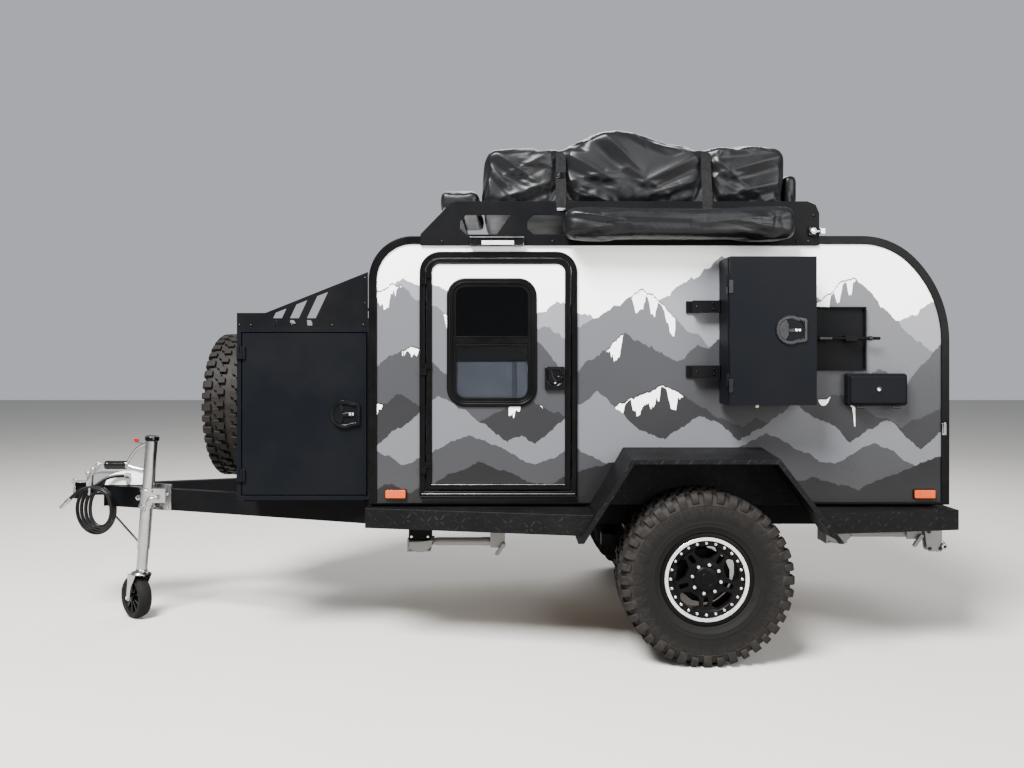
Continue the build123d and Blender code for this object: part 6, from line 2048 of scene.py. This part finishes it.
@dataclass
class RoofRack:
    """Side plates and cross bars of the roof rack with their bolts and clamps."""

    face: float = -0.763

    def build(self) -> None:
        """Dress the rack."""
        dress(BLACK_STEEL, "rack_plates", "rack_bars", width=0.0012)
        places = ((-0.2, 2.068), (0.05, 2.068), (0.36, 2.068), (1.6, 2.068), (1.66, 2.068), (1.685, 2.2))
        profile = mm(0, 4.5, 4.5, 4, 7.5, 0, 7.5, -3, 0, -3)
        dome_bolts("rack_bolts", places, self.face, profile)
        self.clamp()

    def clamp(self) -> None:
        """Add the silver clamp screw with its block at the rear foot of each plate."""
        x, z, y = 1.678, 2.118, self.face
        block = add_box("rack_clamp", (x - 0.022, y - 0.014, z - 0.021), (x + 0.018, y, z + 0.021))
        show_pair(soften(block, 0.003), LATCH, "chassis")
        knob = add_spun("rack_clamp_knob", mm(0, 16.5, 6, 16.5, 7.5, 15, 15, 13, 16.5, 9, 15, 2, 0, 0),
                        (x, y - 0.013, z), 24, (0, -1, 0))
        show_pair(smooth(knob, 40), BOLT, "chassis")
        wing = add_box("rack_clamp_wing", (x + 0.034, y - 0.022, z - 0.016),
                       (x + 0.062, y - 0.006, z + 0.016))
        show_pair(soften(wing, 0.004, 3), ZINC, "chassis")
        stem = add_round("rack_clamp_stem", (x, y - 0.013, z), (x + 0.036, y - 0.013, z), 0.006, sides=12)
        show_pair(smooth(stem), ZINC, "chassis")


@dataclass
class NoseJack:
    """Winding jack with its clamp, handle, swivel fork and wheel."""

    top: Point = (-1.891, -0.24, 1.027)
    lean: float = 4.54
    centre: Point = (-1.9913, -0.2162, 0.12)
    turn: float = -40.0
    radius: float = 0.12

    def along(self, length: float, out: float = 0.0, side: float = 0.0) -> Vector:
        """Give a point down the tube, set forward and to the side of its axis."""
        lean = math.radians(self.lean)
        down = Vector((-math.sin(lean), 0, -math.cos(lean)))
        front = Vector((-math.cos(lean), 0, math.sin(lean)))
        return Vector(self.top) + down * length + front * out + Vector((0, side, 0))

    def build(self) -> None:
        """Make the whole jack."""
        dress(ZINC, "jack_tube", "jack_inner", "jack_clamp", width=0.001, angle=61.0)
        recolour(bpy.data.objects["jack_tube_shown"], LATCH,
                 lambda centre: centre.x < self.top[0] - 0.149 and centre.z > 0.83)
        self.head()
        self.handle()
        self.clamp()
        self.fork()
        self.wheel()

    def head(self) -> None:
        """Add the black cap and the red tag on its wire."""
        way = self.along(-1) - self.along(0)
        cap = add_spun("jack_cap", mm(0, 12.5, 30, 12.5, 36.5, 9, 39, 4, 39, -14, 35, -18, 34.5, -10, 34.5,
                                      6, 0, 6), tuple(self.along(0)), 40, way)
        show(smooth(cap, 40), LATCH, "chassis")
        tag = add_plate("jack_tag", mm(-1998, 1020, -1970, 1022, -1966, 1010, -1978, 998, -1990, 1004),
                        -0.245, -0.237)
        show(soften(tag, 0.002), RED_TAG, "chassis")
        wire = add_tube("tag_wire", [(-1.972, -0.241, 1.002), (-1.952, -0.241, 0.992),
                                     (-1.925, -0.241, 0.994)], 0.0022, 2)
        show(smooth(wire), LATCH, "chassis")

    def handle(self) -> None:
        """Add the bent handle's outer tube, its elbow and the ribbed grip."""
        x, y, z = self.top
        upper = [(x - 0.039, y, z - 0.035), (x - 0.062, y, z - 0.043), (x - 0.092, y, z - 0.066),
                 (x - 0.118, y, z - 0.1), (x - 0.138, y, z - 0.134), (x - 0.149, y, z - 0.155)]
        lower = [(x - 0.149, y, z - 0.155), (x - 0.118, y, z - 0.168), (x - 0.085, y, z - 0.178),
                 (x - 0.051, y, z - 0.183)]
        arms = [smooth(add_tube("arm", points, 0.0082, 4)) for points in (upper, lower)]
        show(join("jack_handle", arms), ZINC, "chassis")
        elbow = add_round("jack_elbow", (x - 0.149, y - 0.015, z - 0.155),
                          (x - 0.149, y + 0.015, z - 0.155), 0.0155, sides=24)
        show(soften(elbow, 0.003), ZINC, "chassis")
        profile = mm(0, 0, 17, 0, 20.5, 4, 21.5, 12)
        for k in range(6):
            at = 0.016 + 0.0125 * k
            profile += mm(22.5, 0, 22.5, 7.5, 20, 9, 20, 11, at=(0, at))
        profile += mm(24.5, 94, 24.5, 108, 22, 112.5, 12, 114, 0, 114)
        grip = add_spun("jack_grip", profile, (x - 0.1495, y, z - 0.155), 32, (-1, 0, 0))
        show(smooth(grip, 50), LATCH, "chassis")
        stub = add_round("grip_stub", (x - 0.262, y, z - 0.155), (x - 0.275, y, z - 0.155), 0.007, sides=16)
        show(soften(stub, 0.0015), ZINC, "chassis")

    def clamp(self) -> None:
        """Add the clamp's bands, bolts, eye, bent locking handle and boss."""
        for k, length in enumerate((0.292, 0.38)):
            start, end = self.along(length), self.along(length + 0.014)
            band = add_spun(f"clamp_band_{k}", mm(34.5, 0, 45.5, 0, 45.5, 14, 34.5, 14, 34.5, 0),
                            tuple(start), 40, end - start)
            show(soften(band, 0.0015), ZINC, "chassis")
        heads = [add_round("head", (-1.79, -0.267, z), (-1.79, -0.281, z), 0.009, 0.0085, 6)
                 for z in (0.71, 0.63)]
        show(soften(join("clamp_bolts", heads), 0.0012), DULL_ZINC, "chassis")
        eye = add_spun("clamp_eye", mm(5.5, -6, 13.5, -5, 15, 0, 13.5, 5, 5.5, 6, 5.5, -6),
                       tuple(self.along(0.345, 0.05, -0.006)), 24, (0, 1, 0))
        show(smooth(eye), ZINC, "chassis")
        screw = self.along(0.342, -0.03, -0.04)
        lever = [screw + Vector((0.03, 0, 0.006)), screw + Vector((0.012, -0.006, 0.008)),
                 screw + Vector((-0.004, -0.01, 0.0)), screw + Vector((-0.02, -0.012, -0.036)),
                 screw + Vector((-0.034, -0.012, -0.072))]
        show(smooth(add_tube("clamp_lever", lever, 0.0068, 4)), ZINC, "chassis")
        boss = add_round("clamp_boss", screw + Vector((0.034, 0.03, 0.006)),
                         screw + Vector((0.034, -0.012, 0.006)), 0.0125, sides=24)
        show(soften(boss, 0.002), ZINC, "chassis")

    def fork(self) -> None:
        """Make the pressed swivel fork with its rounded blades and the axle bolt."""
        plate = add_spun("fork_plate", mm(0, 150, 30, 150, 40, 147, 47, 139, 49, 132, 44, 132, 36, 142, 0,
                                          144), (0, 0, 0), 40, (0, 0, 1))
        plate.data.transform(Matrix.Translation((0.037, 0, 0)))
        outline = mm(79, 138.5, 79, 128, 62, 105, 30, 62, 19, 12, 16.5, -6, 9, -16.5, -4, -18.5, -15, -10,
                     -17.5, 2, -14, 30, -6, 80, -4, 138.5)
        blades = []
        for sign in (-1, 1):
            blade = add_plate("blade", outline, sign * 0.049 - 0.0025, sign * 0.049 + 0.0025)
            blades.append(soften(blade, 0.0018))
        fork = join("fork_blades", [soften(plate, 0.001, 2, 60)] + blades)
        self.place(fork)
        show(fork, ZINC, "jack_swivel", "jack_fork")
        ends = [add_round("nut", (0, sign * 0.05, 0), (0, sign * 0.06, 0), 0.011, 0.0105, 6)
                for sign in (-1, 1)]
        bolt = soften(join("fork_bolt", ends + [add_round("axle", (0, -0.051, 0), (0, 0.051, 0), 0.0065,
                                                          sides=16)]), 0.001)
        self.place(bolt)
        show(bolt, BOLT, "jack_swivel")
        collar = add_round("fork_collar", self.along(0.76), self.along(0.747), 0.034, 0.031, 32)
        show(soften(collar, 0.002), ZINC, "jack_swivel")

    def wheel(self) -> None:
        """Turn the wheel's rubber tyre and its ribbed hub."""
        r = self.radius
        tyre = add_spun("jack_tyre", [(0.086, -0.03), (0.092, -0.036), (r - 0.014, -0.0375),
                                      (r - 0.006, -0.031), (r - 0.0015, -0.018), (r, -0.006), (r, 0.006),
                                      (r - 0.0015, 0.018), (r - 0.006, 0.031), (r - 0.014, 0.0375),
                                      (0.092, 0.036), (0.086, 0.03), (0.082, 0.0), (0.086, -0.03)],
                                      steps=48)
        hub_half = mm(7, 38, 20, 38, 22.5, 35, 24, 16, 70, 13, 80, 26, 85, 31, 87.2, 29, 84, 0)
        profile = [(r0, -y) for r0, y in hub_half] + [(r0, y) for r0, y in reversed(hub_half[:-1])]
        hub = add_spun("jack_hub", profile + [(0.007, -0.038)], steps=40)
        rib = add_box("rib", (-0.0022, -0.027, 0.022), (0.0022, 0.027, 0.08))
        hub = join("jack_hub", [hub] + ring_of(rib, 10, (0, 0, 0)))
        for part, finish in ((smooth(tyre, 30), CASTER), (smooth(hub, 35), LATCH)):
            self.place(part)
            show(part, finish, "jack_caster")
        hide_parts("jack_wheel")

    def place(self, piece: Piece) -> None:
        """Bring a piece drawn about the axle to the jack's wheel."""
        piece.data.transform(Matrix.Translation(self.centre)
                             @ Matrix.Rotation(math.radians(self.turn), 4, "Z"))


@dataclass
class Coupling:
    """Ball coupling with its pale cover, latch lever, link and the drawbar's ends."""

    nose_x: float = -2.24
    top: float = 0.73

    def build(self) -> None:
        """Dress the coupling and add its finer parts."""
        dress(ZINC, "coupling", "coupling_lever", width=0.0012, angle=61.0)
        dress(BLACK_STEEL, "drawbar_rails", "chassis_rails", "cross_members", width=0.0035)
        recolour(bpy.data.objects["coupling_shown"], BLACK_STEEL, lambda centre: centre.z < 0.736)
        x, z = self.nose_x, self.top
        outline = mm(-10, 2, 12, 58, 50, 73, 120, 70, 190, 46, 218, 10, 218, 2, at=(x, z))
        cover = soften(add_plate("nose_cover", outline, -0.06, 0.06), 0.009, 4, 20)
        show(cover, WHITE_STEEL, "chassis")
        self.lever(x, z)
        self.link(x, z)

    def lever(self, x: float, z: float) -> None:
        """Add the turned bosses and the pins of the latch lever."""
        for k, (back, rise, radius) in enumerate(((0.041, 0.12, 0.0155), (0.072, 0.094, 0.0135),
                                                  (0.101, 0.071, 0.0135))):
            boss = add_spun(f"lever_boss_{k}", [(0.0, 0.0), (radius * 0.55, 0.0), (radius * 0.6, -0.002),
                                                (radius, -0.002), (radius + 0.001, -0.005),
                                                (radius + 0.001, -0.024), (0.0, -0.024)],
                                                (x - back, -0.0795, z + rise), 28, (0, -1, 0))
            show(soften(boss, 0.0012), ZINC, "chassis")
        rod = add_tube("lever_rod", [(x - 0.041, -0.074, z + 0.12), (x - 0.005, -0.074, z + 0.126),
                                     (x + 0.035, -0.075, z + 0.122)], 0.0062, 3)
        show(smooth(rod), ZINC, "chassis")

    def link(self, x: float, z: float) -> None:
        """Add the front link's ring and drop bar."""
        ring = add_spun("link_ring", mm(6.2, -5, 14, -4.5, 15.5, 0, 14, 4.5, 6.2, 5, 6.2, -5),
                        (x - 0.185, -0.066, z + 0.026), 24, (0, 1, 0))
        show(smooth(ring), ZINC, "chassis")
        drop = add_tube("link_drop", [(x - 0.185, -0.066, z + 0.014), (x - 0.182, -0.066, z - 0.012),
                                      (x - 0.178, -0.066, z - 0.04)], 0.0058, 3)
        show(smooth(drop), ZINC, "chassis")


@dataclass
class StabiliserLegs:
    """Drop legs with their brackets, saddles, cranks and feet."""

    pivots: Point = (0.08, 2.25)
    heights: Point = (0.515, 0.56)
    y: float = -0.61

    def build(self) -> None:
        """Dress the four legs and add their fittings."""
        dress(SILVER, "leg_brackets", width=0.0015, angle=61.0)
        for side in Side:
            dress(SILVER, f"leg_front_{side.word}", f"leg_rear_{side.word}", width=0.0015, angle=61.0)
        for end, x, z in zip(("front", "rear"), self.pivots, self.heights):
            self.leg(end, x, z)
            self.saddle(end, x, z)

    def leg(self, end: str, x: float, z: float) -> None:
        """Add the sleeve, the pressed foot and the crank of one leg.

        Args:
            end: Name of the leg's end of the trailer.
            x: Place of its pivot.
            z: Height of its pivot.
        """
        y = self.y
        body = f"leg_{end}_SIDE"
        sleeve = add_spun(f"leg_{end}_sleeve", mm(19, 0, 22.5, 0, 22.5, 50, 21, 53, 21, 290, 19, 290, 19,
                                                  0), (x - 0.032, y, z), 32, (-1, 0, 0))
        show_pair(smooth(sleeve, 40), SILVER, body)
        foot_x = x - 0.46
        foot = add_box(f"leg_{end}_foot", (foot_x, y - 0.062, z - 0.045),
                       (foot_x + 0.126, y + 0.062, z - 0.04))
        pick(foot, "EDGE", self.runs_along)
        bpy.ops.mesh.subdivide(number_cuts=7)
        object_mode()
        for vertex in foot.data.vertices:
            along = (vertex.co.x - foot_x) / 0.126
            vertex.co.z += 0.034 * (2 * along - 1) ** 2 * (1.2 if along > 0.5 else 0.5)
        lips = [add_plate("lip", mm(1, 8, 1, -26, 20, -39, 56, -44, 92, -36, 118, -10, 125, 16, 104, 16, 60,
                                    10, at=(foot_x, z)), near, near + 0.0035)
                                    for near in (y - 0.062, y + 0.0585)]
        foot = join(f"leg_{end}_foot", [foot] + lips)
        show_pair(soften(foot, 0.0015, 2, 40), SILVER, body)
        crank = soften(add_plate(f"leg_{end}_crank", mm(26, 4, 40, 1, 44, -8, 4, -64, -10, -64, -14, -54,
                                                        at=(x, z)), y - 0.058, y - 0.042), 0.004, 3)
        show_pair(smooth(crank), SILVER, body)

    def runs_along(self, edge: bmesh.types.BMEdge) -> bool:
        """Say whether an edge of a foot runs along the leg."""
        span = edge.verts[0].co - edge.verts[1].co
        return abs(span.y) < 0.001 and abs(span.z) < 0.001

    def saddle(self, end: str, x: float, z: float) -> None:
        """Add the stowage saddle over the leg's outer end, with its bolts."""
        y, at = self.y, x - 0.405
        top = add_box("top", (at - 0.058, y - 0.041, 0.602), (at + 0.058, y + 0.041, 0.61))
        low = z + 0.012
        cheeks = [add_plate("cheek", [(at - 0.058, 0.606), (at - 0.058, low + 0.01), (at - 0.048, low),
                                      (at + 0.048, low), (at + 0.058, low + 0.01), (at + 0.058, 0.606)],
                                      near, near + 0.005) for near in (y - 0.041, y + 0.036)]
        show_pair(soften(join(f"leg_{end}_saddle", [top] + cheeks), 0.0015), BLACK_STEEL, "chassis")
        heads = [add_round("head", (at + dx, y - 0.04, low + 0.02), (at + dx, y - 0.0475, low + 0.02),
                           0.0075, 0.0068, 6) for dx in (-0.043, 0.043)]
        show_pair(soften(join(f"leg_{end}_saddle_bolts", heads), 0.001), BOLT, "chassis")


@dataclass
class Underbody:
    """Trailing arms, bellows, dampers and the pivot bolts beside the wheels."""

    axle_x: float = 1.085
    pivot: Point = (0.65, 0.551)

    def build(self) -> None:
        """Dress the suspension and add its rubber bellows and bolts."""
        dress(BLACK_STEEL, "suspension", width=0.0015, angle=61.0)
        x, y = self.axle_x - 0.13, -0.61
        low, high = 0.461, 0.61
        profile = [(0.0, low), (0.046, low)]
        for k in range(13):
            angle = k / 12 * math.tau * 2
            profile.append((0.0575 - 0.0125 * math.cos(angle), low + 0.004 + (high - low - 0.008) * k / 12))
        profile += [(0.046, high), (0.0, high)]
        bellows = add_spun("spring_bellows", [(r + 0.0015, z) for r, z in profile], (x, y, 0), 40, (0, 0, 1))
        show_pair(smooth(bellows, 60), CASTER, "chassis")
        px, pz = self.pivot
        washer = add_spun("pivot_washer", mm(0, 6, 10, 6, 11.5, 3, 23.5, 2.5, 23.5, -4, 0, -4),
                          (px, -0.68, pz), 32, (0, -1, 0))
        show_pair(smooth(washer, 40), ZINC, "chassis")


@dataclass
class StepsAndFenders:
    """Tread-plate steps and fenders, and the recovery points behind them."""

    def build(self) -> None:
        """Dress the steps, the fenders and the recovery points."""
        dress(TREAD, "side_steps", "fenders", width=0.0025, angle=25.0)
        self.recovery()

    def recovery(self) -> None:
        """Make the bolted brackets under the rear corners and the bow shackle that lies in the left one."""
        outline = mm(2312, 610, 2312, 570, 2324, 480, 2334, 466, 2396, 466, 2404, 480, 2404, 610)
        plates = [add_plate("plate", outline, near, near + 0.007) for near in (-0.635, -0.594)]
        web = add_box("web", (2.33, -0.632, 0.488), (2.398, -0.59, 0.495))
        bracket = soften(join("recovery_bracket", plates + [web]), 0.0025)
        left, _ = show_pair(bracket, SILVER, "chassis")
        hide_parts("recovery_brackets")
        heads = [add_round("head", (bx, -0.635, bz), (bx, -0.643, bz), 0.0095, 0.0088, 6)
                 for bx, bz in ((2.333, 0.57), (2.338, 0.482), (2.392, 0.588), (2.392, 0.482))]
        show_pair(soften(join("recovery_bolts", heads), 0.0012), LATCH, "chassis")
        pin = add_round("pin", (2.396, -0.6145, 0.462), (2.396, -0.6145, 0.522), 0.0085, sides=20)
        head = add_round("head", (2.396, -0.6145, 0.518), (2.396, -0.6145, 0.528), 0.015, 0.0135, 24)
        nut = add_round("nut", (2.396, -0.6145, 0.46), (2.396, -0.6145, 0.47), 0.014, 0.014, 6)
        eye = add_spun("eye", mm(8, -11, 15, -10, 17.5, 0, 15, 10, 8, 11, 8, -11), (2.41, -0.638, 0.494),
                       24, (0, 1, 0))
        bow = add_tube("bow", [(2.396, -0.6145, 0.511), (2.412, -0.615, 0.513), (2.42, -0.615, 0.506),
                               (2.4215, -0.615, 0.494), (2.42, -0.615, 0.482), (2.412, -0.615, 0.475),
                               (2.396, -0.6145, 0.477)], 0.0085, 4)
        shackle = join("bow_shackle", [soften(pin, 0.001), soften(head, 0.002), soften(nut, 0.001),
                                       smooth(eye), smooth(bow)])
        show(shackle, ZINC, "chassis")


def main() -> None:
    """Build the scene."""
    logging.basicConfig(level=logging.INFO, format="%(name)s: %(message)s")
    Studio().build()
    TrailerCable().build()
    RoadWheel().build()
    CabinShell().build()
    CabinDoor().build()
    TongueBox().build()
    KitchenBox().build()
    PowerInlet().build()
    Lamps().build()
    RearFittings().build()
    StepsAndFenders().build()
    TentPack().build()
    RoofBags().build()
    RoofRack().build()
    NoseJack().build()
    Coupling().build()
    StabiliserLegs().build()
    Underbody().build()
    select_only()


if __name__ == "__main__":
    main()
